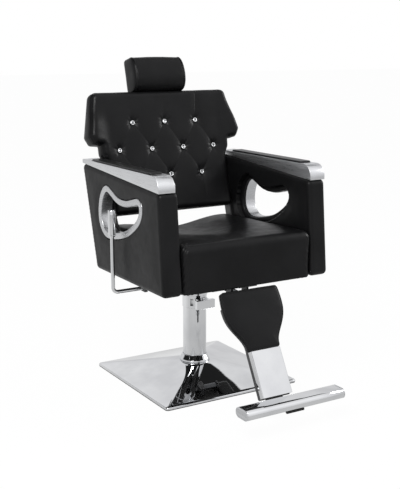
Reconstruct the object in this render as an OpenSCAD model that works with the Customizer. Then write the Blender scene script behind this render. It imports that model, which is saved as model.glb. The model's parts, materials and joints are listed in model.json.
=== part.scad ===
// Hydraulic barber chair with a coupled recline and leg rest, in millimetres.
// +Z is up and the sitter faces -Y. The origin is the centre of the base on the floor.

/* [Base] */
// Side of the square base
base_side = 480; // [440:5:560]
// Plan corner radius of the base
base_corner_r = 10; // [6:1:24]
// Height of the base cover's flat rim
base_rim_h = 9; // [8:0.5:14]
// Height of the base cover's neck
base_neck_h = 54; // [48:1:70]
// How late the base cover sweeps up to its neck
base_sweep = 1; // [0.9:0.05:1.8]
// How late the base cover's corners round off into its neck
base_blend = 3; // [1:0.5:5]
// Sheet thickness of the base cover
base_skin_t = 2.5; // [1.5:0.5:3]
// Thickness of the ground plate
ground_plate_t = 5; // [4:0.5:5]
// Height of the rubber gasket under the cover's rim
gasket_h = 2.5; // [1.5:0.5:4]
// Width of the rubber gasket
gasket_w = 8; // [6:1:12]
// Thread diameter of the base bolts
base_bolt_d = 10; // [8:1:12]
// Thickness of the pump tube's flange
tube_flange_t = 10; // [8:1:14]
// Radius of the pump tube's flange
tube_flange_r = 60; // [56:1:66]

/* [Column] */
// Outer diameter of the lifting sleeve
sleeve_d = 76; // [72:1:84]
// Wall of the lifting sleeve
sleeve_wall = 2; // [1.5:0.5:3]
// Height that the seat lifts
lift_travel = 130; // [100:5:160]
// Wall of the fixed pump tube
tube_wall = 4; // [3:0.5:6]
// Thickness of the sleeve's guide bush
bush_t = 1; // [0.8:0.1:2]
// Length of the sleeve's guide bush
bush_len = 20; // [15:1:30]
// Diameter of the ram
ram_d = 30; // [24:1:34]
// Length of the piston
piston_len = 18; // [14:1:24]
// Radial clearance of running fits
run_gap = 0.05; // [0.03:0.01:0.08]
// Height of the collar ring
collar_h = 21; // [14:1:26]
// Height of the collar ring's straight rim
collar_rim_h = 7; // [4:1:10]
// Radial width of the collar ring
collar_w = 12; // [10:1:16]

/* [Pump head] */
// Height of the pump head
head_h = 48; // [44:1:60]
// Wall of the pump head round the sleeve
head_wall = 2; // [1.5:0.5:6]
// Distance of the pump head's front block ahead of the column axis
head_front = 72; // [60:1:84]
// Width of the pump head's front block
head_front_w = 66; // [56:1:80]
// Height of the pump head's front block
head_block_h = 28; // [24:1:34]
// Thickness of the pump head's front block
head_block_t = 13; // [10:1:18]
// Width of the slot in the pump head's side
head_slot_w = 10; // [8:1:12]
// Diameter of the pump head's top flange
head_cap_d = 84; // [80:1:96]
// Thickness of the pump head's top flange
head_cap_t = 8; // [6:1:10]
// Diameter of the swivel spindle
spindle_d = 34; // [30:1:38]
// Thickness of the thrust washer
washer_t = 3; // [2:0.5:5]

/* [Pedal] */
// Direction of the pedal round the column, from +X
pedal_angle = 59; // [40:1:80]
// Distance of the pedal's pivot from the column axis
pedal_pivot_r = 66; // [62:1:72]
// Distance of the pedal's end from the column axis
pedal_reach = 330; // [300:5:350]
// Drop from the pedal's pivot to its foot plate
pedal_drop = 150; // [130:5:160]
// Width of the pedal's foot plate
pedal_w = 48; // [40:1:60]
// Width of the pedal's lever
pedal_lever_w = 18; // [14:1:20]
// Length of the pedal's foot plate
pedal_plate_len = 68; // [60:1:76]
// Angle that the pedal swings down
pedal_swing = 18; // [12:1:20]
// Diameter of the pump plunger
plunger_d = 10; // [8:1:12]

/* [Seat] */
// Width of the seat between the arms
seat_w = 450; // [430:5:480]
// Height of the seat box
seat_h = 145; // [130:1:160]
// Distance of the seat's front face ahead of the column axis
seat_front = 321; // [300:1:340]
// Distance of the seat's rear foot behind the column axis
seat_rear = 127; // [122:1:140]
// Fall of the seat's top from front to rear
seat_fall = 15; // [5:1:25]
// Depth of the scoop in the seat's top
scoop_depth = 30; // [15:1:40]
// Rounding of the seat's front top edge
seat_front_r = 26; // [18:1:34]
// Plan rounding of the seat's corners
seat_corner_r = 20; // [12:1:28]
// Thickness of the seat board
board_t = 14; // [12:1:18]
// Height of the battens on the seat board
batten_h = 40; // [34:1:46]
// Width of the battens on the seat board
batten_w = 30; // [24:1:36]
// Thread diameter of the seat's and the arms' bolts
seat_bolt_d = 8; // [6:1:8]
// Height of the seat rails
rail_h = 25; // [25:1:30]
// Width of each seat rail
rail_w = 20; // [16:1:24]
// Distance between the seat rails' middles
rail_pitch = 140; // [134:2:170]
// Length of the swivel hub
hub_len = 50; // [46:1:60]
// Thickness of the swivel bracket's plate
bracket_t = 8; // [6:1:10]

/* [Arms] */
// Thickness of each padded arm
arm_t = 63; // [56:1:70]
// Gap between the seat and each arm
arm_gap = 2; // [1:0.5:4]
// Distance of the arm's front foot ahead of the column axis
arm_front = 322; // [310:1:335]
// Backward lean of the arm's front edge
arm_front_lean = 27; // [15:1:40]
// Drop of the arm's leather from its rear to its front
arm_drop = 35; // [25:1:50]
// Backward lean of the arm's rear edge
arm_rear_lean = 93; // [80:1:105]
// Height of the arm's leather at the rear
arm_rear_h = 330; // [322:1:334]
// Edge rounding of the arm
arm_edge_r = 13; // [8:1:16]
// Thickness of the arm's plywood core
core_t = 24; // [18:1:30]
// Length of the kidney-shaped hand hole
hole_len = 256; // [220:2:270]
// Height of the hand hole
hole_h = 124; // [100:2:134]
// Distance of the hand hole's middle ahead of the column axis
hole_front = 47; // [35:1:60]
// Height of the hand hole's middle above the seat's underside
hole_up = 196; // [186:1:202]
// Width of the hand hole's metal rim
trim_rim_w = 19; // [14:1:22]
// Thickness of the hand hole's metal rim
trim_rim_t = 3; // [2:0.5:4]
// Depth of the hand hole's metal sleeve
trim_depth = 38; // [30:1:46]
// Wall of the hand hole's metal sleeve
trim_wall = 2; // [1.5:0.5:3]

/* [Arm caps] */
// Height of the cap's top above the arm's rear corner
cap_over = 12; // [9:1:18]
// Width of the cap
cap_w = 54; // [48:1:58]
// Front rounding of the cap
cap_front_r = 38; // [26:1:42]
// Distance of the arm pad's front end ahead of the column axis
pad_front = 230; // [215:1:240]
// Distance of the arm pad's rear end behind the column axis
pad_rear = 155; // [130:1:180]
// Width of the arm pad
arm_pad_w = 38; // [34:1:40]
// Height of the arm pad above the cap
arm_pad_proud = 5; // [3:0.5:8]

/* [Back] */
// Tilt of the back from upright
back_tilt = 15; // [10:1:20]
// Distance of the back's pivot behind the column axis
back_pivot_y = 98; // [94:1:102]
// Depth of the back's pivot below the seat's underside
back_pivot_drop = 18; // [17:1:24]
// Distance along the back from its pivot to its lower edge
back_low = 183; // [175:1:195]
// Distance along the back from its pivot to its top edge
back_top = 580; // [560:1:600]
// Gap between the back and each arm
back_gap = 4; // [3.5:0.5:8]
// Distance that the back steps out above the arms
back_step = 12; // [6:1:18]
// Distance that each wing reaches out over its arm
wing_reach = 56; // [40:1:62]
// Distance that the back's top corners reach out
back_top_reach = 24; // [16:1:34]
// Distance along the back from its pivot to the wings' underside
wing_low = 411; // [404:1:420]
// Height of the wing's rounded tip
wing_tip_h = 29; // [22:1:40]
// Forward wrap of the wings
wing_wrap = 18; // [8:1:24]
// Distance from the pivot's plane to the back's front face
back_front = 29; // [24:1:34]
// Total thickness of the back
back_t = 48; // [44:1:56]
// Crown of the back's front face
back_crown = 6; // [3:0.5:10]
// Depth of the sewn tufts
tuft_depth = 9; // [5:0.5:12]
// Spacing of the buttons along a row
button_pitch = 118; // [110:1:124]
// Spacing of the button rows
button_rise = 88; // [80:1:94]
// Distance along the back from its pivot to the middle button row
button_mid = 390; // [384:1:396]
// Diameter of the button cups
button_d = 15; // [12:0.5:18]
// Thickness of the back board
back_board_t = 9; // [7:0.5:12]
// Thickness of the rear cover
back_cover_t = 5; // [3:0.5:6]
// Width of the back's side bars
bar_w = 30; // [26:1:34]
// Thickness of the back's side bars
bar_t = 5; // [4:0.5:6]
// Diameter of the torque shaft
torque_d = 20; // [16:1:22]
// Radius of the cranks
crank_r = 34; // [28:1:36]
// Diameter of the crank pins
crank_pin_d = 8; // [6:1:8]
// Angle that the back reclines
recline_range = 50; // [40:1:52]

/* [Headrest] */
// Width of the headrest
headrest_w = 190; // [170:2:220]
// Height of the headrest
headrest_h = 115; // [95:1:125]
// Depth of the headrest
headrest_t = 84; // [70:1:95]
// Distance from the pivot's plane back to the headrest's flat rear
headrest_rear = 31; // [26:1:36]
// Diameter of the headrest posts
post_d = 10; // [8:1:12]
// Distance between the headrest posts
post_pitch = 90; // [70:2:110]
// Travel of the headrest
headrest_travel = 80; // [50:5:90]

/* [Leg rest] */
// Tilt of the leg rest from upright
leg_tilt = 28.4; // [22:0.1:32]
// Distance of the leg rest's pivot ahead of the column axis
leg_pivot_front = 300; // [292:1:302]
// Depth of the leg rest's pivot below the seat's underside
leg_pivot_drop = 33; // [32:1:38]
// Distance from the leg rest's pivot to the pad's front face
leg_face = 28; // [24:1:28]
// Length of the calf pad above the pivot
calf_above = 15; // [10:1:15]
// Length of the calf pad
calf_len = 183; // [165:1:200]
// Width of the calf pad's top
calf_w = 198; // [180:2:220]
// Extra half width of the calf pad's bulge
calf_bulge = 4; // [0:1:8]
// Thickness of the calf pad
calf_t = 20; // [16:1:20]
// Width of the chrome leg plate
leg_plate_w = 104; // [90:2:120]
// Length of the chrome leg plate
leg_plate_len = 139; // [120:1:160]
// Depth of the chrome leg plate's folded sides
leg_plate_fold = 16; // [10:1:18]
// Sheet thickness of the leg plate
leg_plate_t = 2; // [1.5:0.5:3]
// Thickness of the leg frame's strip
leg_strip_t = 6; // [5:0.5:6]
// Thickness of the black board behind the calf pad
leg_board_t = 12; // [8:1:14]
// Width of the black bracket over the leg rest
leg_hinge_w = 63; // [56:1:70]
// Diameter of the leg rest's hinge pin
leg_pin_d = 10; // [8:1:10]

/* [Foot bar] */
// Length of the foot bar
bar_len = 340; // [300:5:380]
// Depth of the foot bar's section
bar_depth = 60; // [50:1:70]
// Height of the foot bar's section
bar_h = 30; // [24:1:36]
// Wall of the foot bar
bar_wall = 2; // [1.5:0.5:3]
// Distance of the foot bar ahead of the leg plate's foot
bar_ahead = 65; // [58:1:80]
// Height of the foot bar's middle above the leg plate's foot
bar_above = 0.5; // [0:0.5:5]
// Width of the foot strap
strap_w = 60; // [50:1:70]
// Thickness of the foot strap
strap_t = 5; // [4:0.5:6]
// Distance of the rubber bumper behind the foot bar's front
bumper_back = 10; // [6:1:16]

/* [Recline lever] */
// Distance of the lever's shaft ahead of the column axis
lever_front = 46; // [44:1:48]
// Depth of the lever's shaft below the seat's underside
lever_drop = 37; // [35:1:40]
// Distance of the lever's rod out from the arm's face
lever_out = 25; // [20:1:32]
// Diameter of the lever's rod
lever_d = 12; // [10:1:14]
// Height of the lever's rod below its grip
lever_rod_h = 173; // [150:1:190]
// Length of the lever's grip
grip_len = 82; // [70:1:95]
// Diameter of the lever's grip
grip_d = 23; // [20:1:26]
// Diameter of the locking strut
strut_d = 22; // [18:1:22]

/* [Hidden] */
$fn = 48;
tiny = 0.01;
soft_gap = 0.3;

// Heights of the column, from the floor up
sleeve_r = sleeve_d / 2;
neck_r = sleeve_r + collar_w - 4;
collar_top = base_neck_h + collar_h;
sleeve_foot = base_neck_h + 2;
bush_r = sleeve_r - sleeve_wall;
tube_r = bush_r - bush_t;
tube_bore_r = tube_r - tube_wall;
tube_top = sleeve_foot + bush_len + lift_travel + 9;
gland_lip = 6;
gland_len = 10;
head_z = tube_top + gland_lip + 15;
socket_depth = 4;
head_r = sleeve_r + head_wall;
head_top = head_z + head_h;
hub_z = head_top + washer_t;
plate_z = hub_z + hub_len;
rail_z = plate_z + bracket_t;
seat_z = rail_z + rail_h;
seat_top = seat_z + seat_h;
ram_r = ram_d / 2;
spindle_r = spindle_d / 2;
spindle_sink = 28;
hub_r = spindle_r + 15;
tube_floor = ground_plate_t + tube_flange_t;
piston_z = tube_floor + 6;
ram_sink = 14;
bolt_pcd_r = (tube_r + tube_flange_r) / 2;
base_half = base_side / 2;

// Places of the pivots
pedal_pivot_z = head_z + 16;
head_neck_w = 40;
head_slot_angle = 226;
head_slot_depth = 9;
nose_r = 6;
nose_reach = 18;
nose_room = 2.2;
pedal_plate_t = 6;
pedal_pin_d = crank_pin_d + 2;
pedal_boss_w = pedal_lever_w + 26;
back_pivot = [0, back_pivot_y, seat_z - back_pivot_drop];
leg_pivot = [0, -leg_pivot_front, seat_z - leg_pivot_drop];
crank_lean = recline_range / 2;
crank_v = [0, crank_r * sin(crank_lean), -crank_r * cos(crank_lean)];
link_x = 48;
strut_x = -46;
link_t = 7;
fork_t = 4;
fork_gap = 0.5;
crank_eye_r = crank_pin_d / 2 + 5;
strut_axis_z = back_pivot[2] - crank_r * (1 + cos(crank_lean)) / 2;
strut_stroke = 2 * crank_r * sin(crank_lean);
lever_axis = [-lever_front, seat_z - lever_drop];

// Places of the arms
arm_in_x = seat_w / 2 + arm_gap;
arm_out_x = arm_in_x + arm_t;
arm_rear = seat_rear;
arm_outline = [
  [-arm_front, seat_z],
  [arm_rear, seat_z],
  [arm_rear + arm_rear_lean, seat_z + arm_rear_h],
  [-arm_front + arm_front_lean, seat_z + arm_rear_h - arm_drop]
];
cap_rear_y = arm_rear + arm_rear_lean - 7;
cap_front_y = -arm_front + arm_front_lean + 2;
cap_in_x = arm_out_x - cap_w;
cap_z = seat_z + arm_rear_h + cap_over;
pad_x = arm_out_x - cap_w / 2;
pad_seat = 3;
groove_w = 3;
rim_t = 1.5;
hole_at = [-hole_front, seat_z + hole_up];
rear_slope = arm_rear_lean / arm_rear_h;

// Places on the back
back_low_half = arm_in_x - back_gap;
back_neck_half = back_low_half + back_step;
wing_half = back_low_half + wing_reach;
back_top_half = back_low_half + back_top_reach;
bar_x = back_low_half - 1;
board_back = back_t - back_front - back_cover_t;
board_front = board_back - back_board_t;
post_y = board_front - post_d / 2 - 6;
guide_r = post_d / 2 + 3;
guide_len = headrest_travel + 3 * post_d;
headrest_z = back_top + 1;

// Places on the leg rest, in the leg rest's own frame: down the leg is -Z, its face is -Y
calf_low = calf_len - calf_above;
plate_low = calf_low + leg_plate_len;
frame_back = leg_face - calf_t;
leg_knuckle_r = frame_back - 0.1;
plate_foot = [
  leg_pivot[1] - plate_low * sin(leg_tilt) - leg_face * cos(leg_tilt),
  leg_pivot[2] - plate_low * cos(leg_tilt) + leg_face * sin(leg_tilt)
];
bar_at = [plate_foot[0] - bar_ahead, plate_foot[1] + bar_above];
strap_z = bar_at[1] - bar_h / 2 - strap_t;
bumper_t = 6;
strap_front = bar_at[0] - bar_depth / 2 + bumper_back + bumper_t;

// ---------- helpers ----------

// Plan points of a square with rounded corners, counter-clockwise
function rounded_square(half, r, steps = 6) = [
  for (q = [0:3]) for (i = [0:steps])
    let (
      a = 90 * (q + i / steps),
      sx = (q == 0 || q == 3) ? 1 : -1,
      sy = q < 2 ? 1 : -1
    )
    [sx * (half - r) + r * cos(a), sy * (half - r) + r * sin(a)]
];

// Fillets the corners of a polygon given as [x, y, radius]
function unit(v) = v / norm(v);
function fillet(pts, steps = 6) = [
  for (i = [0:len(pts) - 1])
    let (
      n = len(pts),
      p = [pts[i][0], pts[i][1]],
      a = unit([pts[(i + n - 1) % n][0], pts[(i + n - 1) % n][1]] - p),
      b = unit([pts[(i + 1) % n][0], pts[(i + 1) % n][1]] - p),
      half = acos(max(-1, min(1, a * b))) / 2,
      r = pts[i][2],
      c = p + unit(a + b) * r / sin(half),
      start = p + a * r / tan(half) - c,
      sweep = (180 - 2 * half) * (a[0] * b[1] - a[1] * b[0] > 0 ? -1 : 1)
    )
    for (k = [0:r > 0 ? steps : 0])
      let (t = sweep * k / steps)
      r > 0
        ? c + [start[0] * cos(t) - start[1] * sin(t), start[0] * sin(t) + start[1] * cos(t)]
        : p
];

// Adds the mirrored half of an outline that is drawn for x > 0 from its foot to its top
function mirrored(pts) = concat(pts, [for (i = [len(pts) - 1:-1:0]) [-pts[i][0], pts[i][1], pts[i][2]]]);

// Smooth closed loop and smooth open path through a few points
function spline(p, q, r, s, t) =
  0.5 * (2 * q + (r - p) * t + (2 * p - 5 * q + 4 * r - s) * t * t + (3 * q - p - 3 * r + s) * t * t * t);
function smooth_loop(pts, steps = 5) = [
  for (i = [0:len(pts) - 1]) for (k = [0:steps - 1])
    let (n = len(pts))
    spline(pts[(i + n - 1) % n], pts[i], pts[(i + 1) % n], pts[(i + 2) % n], k / steps)
];
function smooth_path(pts, steps = 5) = concat([
  for (i = [0:len(pts) - 2]) for (k = [0:steps - 1])
    let (n = len(pts))
    spline(pts[max(i - 1, 0)], pts[i], pts[i + 1], pts[min(i + 2, n - 1)], k / steps)
], [pts[len(pts) - 1]]);

// Moves a counter-clockwise loop outwards by d
function grow(pts, d) = [
  for (i = [0:len(pts) - 1])
    let (n = len(pts), t = unit(pts[(i + 1) % n] - pts[(i + n - 1) % n]))
    pts[i] + d * [t[1], -t[0]]
];

// Outline of a bar of width w along a path
function ribbon(path, w) =
  let (
    n = len(path),
    side = [for (i = [0:n - 1]) let (t = unit(path[min(i + 1, n - 1)] - path[max(i - 1, 0)])) [-t[1], t[0]]]
  )
  concat(
    [for (i = [0:n - 1]) path[i] + side[i] * w / 2],
    [for (i = [n - 1:-1:0]) path[i] - side[i] * w / 2]
  );

// Moves the straight edges of a convex counter-clockwise outline inwards by d
function inset(pts, d) = [
  for (i = [0:len(pts) - 1])
    let (
      n = len(pts),
      a = unit(pts[i] - pts[(i + n - 1) % n]),
      b = unit(pts[(i + 1) % n] - pts[i]),
      na = [-a[1], a[0]],
      nb = [-b[1], b[0]]
    )
    pts[i] + (na + nb) * d / (1 + na * nb)
];

// Distance from a point to the nearest edge of an outline
function edge_distance(p, outline) = min([
  for (i = [0:len(outline) - 1])
    let (
      a = outline[i],
      b = outline[(i + 1) % len(outline)],
      ab = b - a,
      t = ab * ab == 0 ? 0 : max(0, min(1, (p - a) * ab / (ab * ab)))
    )
    norm(p - a - ab * t)
]);
function line_distance(p, a, b) =
  let (ab = b - a, t = max(0, min(1, (p - a) * ab / (ab * ab))))
  norm(p - a - ab * t);

// Fall of a rounded edge of radius r at distance d from it
function edge_fall(d, r) = d >= r ? 0 : r - sqrt(max(0, r * r - (r - d) * (r - d)));

// Solid through rings of points with the same count; open rings are capped by fans
module skin(rings, closed = false) {
  n = len(rings[0]);
  m = len(rings);
  points = [for (ring = rings) for (p = ring) p];
  sides = [
    for (j = [0:m - (closed ? 1 : 2)]) for (i = [0:n - 1])
      let (
        up = (j + 1) % m,
        a = j * n + i,
        b = j * n + (i + 1) % n,
        c = up * n + (i + 1) % n,
        d = up * n + i
      )
      for (f = [[a, c, b], [a, d, c]]) f
  ];
  low = m * n;
  high = m * n + 1;
  caps = closed ? [] : [
    for (i = [0:n - 1]) for (f = [
      [low, i, (i + 1) % n],
      [high, (m - 1) * n + (i + 1) % n, (m - 1) * n + i]
    ]) f
  ];
  ends = closed ? [] : [centre_of(rings[0]), centre_of(rings[m - 1])];
  polyhedron(points = concat(points, ends), faces = concat(sides, caps));
}
function centre_of(ring) = [for (k = [0:2]) sum([for (p = ring) p[k]]) / len(ring)];
function sum(v, i = 0) = i < len(v) ? v[i] + sum(v, i + 1) : 0;

module rod_x(d, x0, x1, at) {
  translate([x0, at[0], at[1]]) rotate([0, 90, 0]) cylinder(d = d, h = x1 - x0);
}
module rod_y(d, y0, y1, at) {
  translate([at[0], y0, at[1]]) rotate([-90, 0, 0]) cylinder(d = d, h = y1 - y0);
}
// Extrudes a side view, drawn as [y, z], from x0 to x1
module side_plate(x0, x1, points) {
  translate([x0, 0, 0]) rotate([90, 0, 90]) linear_extrude(x1 - x0) polygon(points);
}
module box(low, high) {
  translate(low) cube(high - low);
}
module both_sides() {
  children();
  mirror([1, 0, 0]) children();
}
module on_back() {
  translate(back_pivot) rotate([-back_tilt, 0, 0]) children();
}
module on_leg() {
  translate(leg_pivot) rotate([-leg_tilt, 0, 0]) children();
}
module at_pedal() {
  rotate([0, 0, pedal_angle]) children();
}
// Arm that is clamped on a shaft at a and has an eye at b, both as [y, z]
module crank_plate(x0, x1, a, ra, b, rb) {
  d = unit(b - a);
  s = [-d[1], d[0]];
  rod_x(2 * ra, x0, x1, a);
  rod_x(2 * rb, x0, x1, b);
  side_plate(x0, x1, [a + s * ra, a - s * ra, b - s * rb, b + s * rb]);
}

// ---------- base ----------

module base_bolt_places() {
  for (k = [0:3]) rotate([0, 0, 45 + 90 * k]) translate([bolt_pcd_r, 0, 0]) children();
}

module ground_plate() {
  color("dimgray") difference() {
    linear_extrude(ground_plate_t)
      polygon(rounded_square(base_half - gasket_w - 1, base_corner_r));
    base_bolt_places() translate([0, 0, 1]) cylinder(d = base_bolt_d, h = ground_plate_t);
  }
}

module base_gasket() {
  color("black") difference() {
    linear_extrude(gasket_h) polygon(rounded_square(base_half - 0.5, base_corner_r));
    translate([0, 0, -1]) linear_extrude(gasket_h + 2)
      polygon(rounded_square(base_half - gasket_w, base_corner_r - 2));
  }
}

// Half width, corner radius and height of the cover's outer skin, from its rim to its neck
function cover_section(t) =
  let (edge = base_half - 3, half = edge - (edge - neck_r) * t)
  [
    half,
    min(half, base_corner_r + (neck_r - base_corner_r) * pow(t, base_blend)),
    base_rim_h + (base_neck_h - base_rim_h) * pow(t, base_sweep)
  ];

module base_cover() {
  steps = 12;
  rim = [
    [base_half, base_corner_r, gasket_h],
    [base_half, base_corner_r, base_rim_h - 3],
    [base_half - 1, base_corner_r, base_rim_h - 1]
  ];
  outer = concat(rim, [for (k = [0:steps]) cover_section(pow(k / steps, 0.8))]);
  inner = [
    for (k = [len(outer) - 1:-1:0])
      let (s = outer[k])
      [s[0] - base_skin_t, max(1, s[1] - base_skin_t), k == 0 ? s[2] : s[2] - (k < 4 ? 1.5 : base_skin_t)]
  ];
  color("silver") skin([
    for (s = concat(outer, inner)) [for (p = rounded_square(s[0], s[1])) [p[0], p[1], s[2]]]
  ], closed = true);
}

module base_bolts() {
  color("gray") base_bolt_places() {
    translate([0, 0, 1]) cylinder(d = base_bolt_d, h = tube_floor - 1);
    translate([0, 0, tube_floor]) cylinder(d = base_bolt_d * 1.5, h = 7, $fn = 6);
  }
}

module collar_ring() {
  r_in = sleeve_r + 0.4;
  r_out = neck_r + 4;
  color("silver") rotate_extrude() polygon(fillet([
    [r_in, base_neck_h, 0],
    [r_out, base_neck_h, 1],
    [r_out, base_neck_h + collar_rim_h, 2.5],
    [r_in + 2.4, collar_top, 0.8],
    [r_in, collar_top, 0.4]
  ]));
}

module inner_tube() {
  color("lightgray") difference() {
    union() {
      translate([0, 0, ground_plate_t]) cylinder(r = tube_flange_r, h = tube_flange_t);
      translate([0, 0, ground_plate_t]) cylinder(r = tube_r, h = tube_top - ground_plate_t);
    }
    translate([0, 0, tube_floor]) cylinder(r = tube_bore_r, h = tube_top);
    base_bolt_places() cylinder(d = base_bolt_d, h = tube_floor + 1);
  }
}

module tube_gland() {
  color("goldenrod") difference() {
    union() {
      translate([0, 0, tube_top]) cylinder(r = tube_r - 0.5, h = gland_lip);
      translate([0, 0, tube_top - gland_len]) cylinder(r = tube_bore_r, h = gland_len);
    }
    translate([0, 0, tube_top - gland_len - 1]) cylinder(r = ram_r + run_gap, h = gland_len + gland_lip + 2);
  }
}

// ---------- lifting carriage ----------

module outer_sleeve() {
  color("silver") difference() {
    translate([0, 0, sleeve_foot]) cylinder(r = sleeve_r, h = head_z + socket_depth - sleeve_foot);
    translate([0, 0, sleeve_foot - 1]) cylinder(r = bush_r, h = head_z + socket_depth);
  }
}

module sleeve_bush() {
  color("ivory") difference() {
    translate([0, 0, sleeve_foot]) cylinder(r = bush_r, h = bush_len);
    translate([0, 0, sleeve_foot - 1]) cylinder(r = tube_r + run_gap, h = bush_len + 2);
  }
}

module pump_head() {
  boss_w = pedal_boss_w;
  boss_end = pedal_pivot_r + 13;
  slot_top = pedal_pivot_z + 14;
  block_z = head_z + 5;
  color("silver") difference() {
    union() {
      translate([0, 0, head_z]) cylinder(r = head_r, h = head_h);
      box(
        [-head_front_w / 2, -head_front, block_z],
        [head_front_w / 2, head_block_t - head_front, block_z + head_block_h]
      );
      box([-head_neck_w / 2, -head_front + 1, block_z], [head_neck_w / 2, 0, block_z + head_block_h]);
      translate([0, 0, head_top - head_cap_t]) cylinder(d = head_cap_d, h = head_cap_t);
      at_pedal() box([0, -boss_w / 2, head_z + 2], [boss_end, boss_w / 2, head_top]);
    }
    translate([0, 0, head_z - 1]) cylinder(r = sleeve_r, h = socket_depth + 1);
    translate([0, 0, head_z - 1]) cylinder(r = ram_r, h = ram_sink + 1);
    rotate([0, 0, head_slot_angle]) box(
      [head_r - head_slot_depth, -head_slot_w / 2, block_z + 3],
      [head_r + 1, head_slot_w / 2, block_z + head_block_h - 2]
    );
    translate([0, 0, head_top - spindle_sink]) cylinder(r = spindle_r, h = spindle_sink + 1);
    at_pedal() {
      box(
        [sleeve_r + nose_room, -pedal_lever_w / 2 - 1, head_z - 1],
        [boss_end + 1, pedal_lever_w / 2 + 1, slot_top]
      );
      rod_y(pedal_pin_d, -boss_w, boss_w, [pedal_pivot_r, pedal_pivot_z]);
      translate([pedal_pivot_r - nose_reach, 0, slot_top - 1])
        cylinder(r = plunger_d / 2 + run_gap, h = head_top - slot_top);
    }
  }
}

module ram() {
  color("lightgray") translate([0, 0, piston_z]) cylinder(r = ram_r, h = head_z + ram_sink - piston_z);
}

module piston() {
  color("gray") difference() {
    translate([0, 0, piston_z]) cylinder(r = tube_bore_r - run_gap, h = piston_len);
    translate([0, 0, piston_z - 1]) cylinder(r = ram_r, h = piston_len + 2);
    translate([0, 0, piston_z + piston_len / 2 - 2]) difference() {
      cylinder(r = tube_bore_r + 1, h = 4);
      translate([0, 0, -1]) cylinder(r = tube_bore_r - 4, h = 6);
    }
  }
}

module piston_seal() {
  color("black") translate([0, 0, piston_z + piston_len / 2 - 2]) difference() {
    cylinder(r = tube_bore_r - 0.02, h = 4);
    translate([0, 0, -1]) cylinder(r = tube_bore_r - 4, h = 6);
  }
}

module spindle() {
  color("gray") translate([0, 0, head_top - spindle_sink])
    cylinder(r = spindle_r, h = spindle_sink + washer_t + hub_len - 5);
}

module thrust_washer() {
  color("goldenrod") translate([0, 0, head_top]) difference() {
    cylinder(r = hub_r, h = washer_t);
    translate([0, 0, -1]) cylinder(r = spindle_r + 0.1, h = washer_t + 2);
  }
}

module pedal_pin() {
  half = pedal_boss_w / 2;
  color("gray") at_pedal() rod_y(pedal_pin_d, -half, half, [pedal_pivot_r, pedal_pivot_z]);
}

module pump_plunger() {
  low = pedal_pivot_z + nose_r + 0.1;
  top = head_top - 3 - nose_reach * sin(pedal_swing);
  color("lightgray") at_pedal() translate([pedal_pivot_r - nose_reach, 0, low])
    cylinder(r = plunger_d / 2, h = top - low);
}

// ---------- pedal ----------

module pedal_lever() {
  pivot = [pedal_pivot_r, pedal_pivot_z];
  end = [pedal_reach, pedal_pivot_z - pedal_drop];
  path = smooth_path([
    pivot,
    pivot + [36, -6],
    pivot + [(end[0] - pivot[0]) * 0.34, -pedal_drop * 0.38],
    pivot + [(end[0] - pivot[0]) * 0.52, -pedal_drop * 0.8],
    end - [pedal_plate_len + 16, -4],
    end - [pedal_plate_len - 8, 0]
  ]);
  color("silver") at_pedal() rotate([90, 0, 0]) translate([0, 0, -pedal_lever_w / 2]) {
    difference() {
      linear_extrude(pedal_lever_w) union() {
        translate(pivot) circle(r = 10);
        translate(pivot - [nose_reach, 0]) circle(r = nose_r);
        translate(pivot - [nose_reach, nose_r]) square([nose_reach, 2 * nose_r]);
        polygon(ribbon(path, 12));
      }
      translate([pivot[0], pivot[1], -1]) cylinder(d = pedal_pin_d + 2 * run_gap, h = pedal_lever_w + 2);
    }
    translate([end[0] - pedal_plate_len, end[1] - pedal_plate_t / 2, (pedal_lever_w - pedal_w) / 2])
      cube([pedal_plate_len, pedal_plate_t, pedal_w]);
  }
}

module pedal_rubber() {
  rib_pitch = 9;
  rib_w = 4;
  thick = 5;
  top = pedal_pivot_z - pedal_drop + pedal_plate_t / 2;
  rear = pedal_reach - pedal_plate_len + 12;
  ribs = floor((pedal_reach - rear - 3) / rib_pitch);
  color("black") at_pedal() {
    box([rear, -pedal_w / 2, top], [pedal_reach, pedal_w / 2, top + thick]);
    for (k = [0:ribs - 1])
      box(
        [rear + 3 + k * rib_pitch, -pedal_w / 2 + 2, top + thick],
        [rear + 3 + rib_w + k * rib_pitch, pedal_w / 2 - 2, top + thick + 2]
      );
  }
}

// ---------- seat structure ----------

bracket_half = rail_pitch / 2 + rail_w / 2;
bracket_fore = lever_front - lever_d / 2 - 4;
bracket_aft = bracket_fore + 30;
rail_cross_y = -leg_pivot_front + 62;

module bolt_places() {
  for (x = [-1, 1]) for (y = [12 - bracket_fore, bracket_aft - 12])
    translate([x * rail_pitch / 2, y, 0]) children();
}

module seat_bracket() {
  color("silver") difference() {
    union() {
      translate([0, 0, hub_z]) cylinder(r = hub_r, h = hub_len);
      box([-bracket_half, -bracket_fore, plate_z], [bracket_half, bracket_aft, rail_z]);
    }
    translate([0, 0, hub_z - 1]) cylinder(r = spindle_r + run_gap, h = hub_len + 1);
    bolt_places() translate([0, 0, plate_z - 1]) cylinder(d = seat_bolt_d, h = bracket_t + 2);
  }
}

module seat_rails() {
  rear = back_pivot_y - torque_d / 2 - 8;
  color([0.12, 0.12, 0.13]) difference() {
    union() {
      both_sides() box(
        [rail_pitch / 2 - rail_w / 2, rail_cross_y, rail_z],
        [rail_pitch / 2 + rail_w / 2, rear, seat_z]
      );
      box([-rail_pitch / 2, rail_cross_y, rail_z], [rail_pitch / 2, rail_cross_y + rail_w, seat_z]);
    }
    bolt_places() translate([0, 0, rail_z - 1]) cylinder(d = seat_bolt_d, h = rail_h + 2);
  }
}

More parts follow.
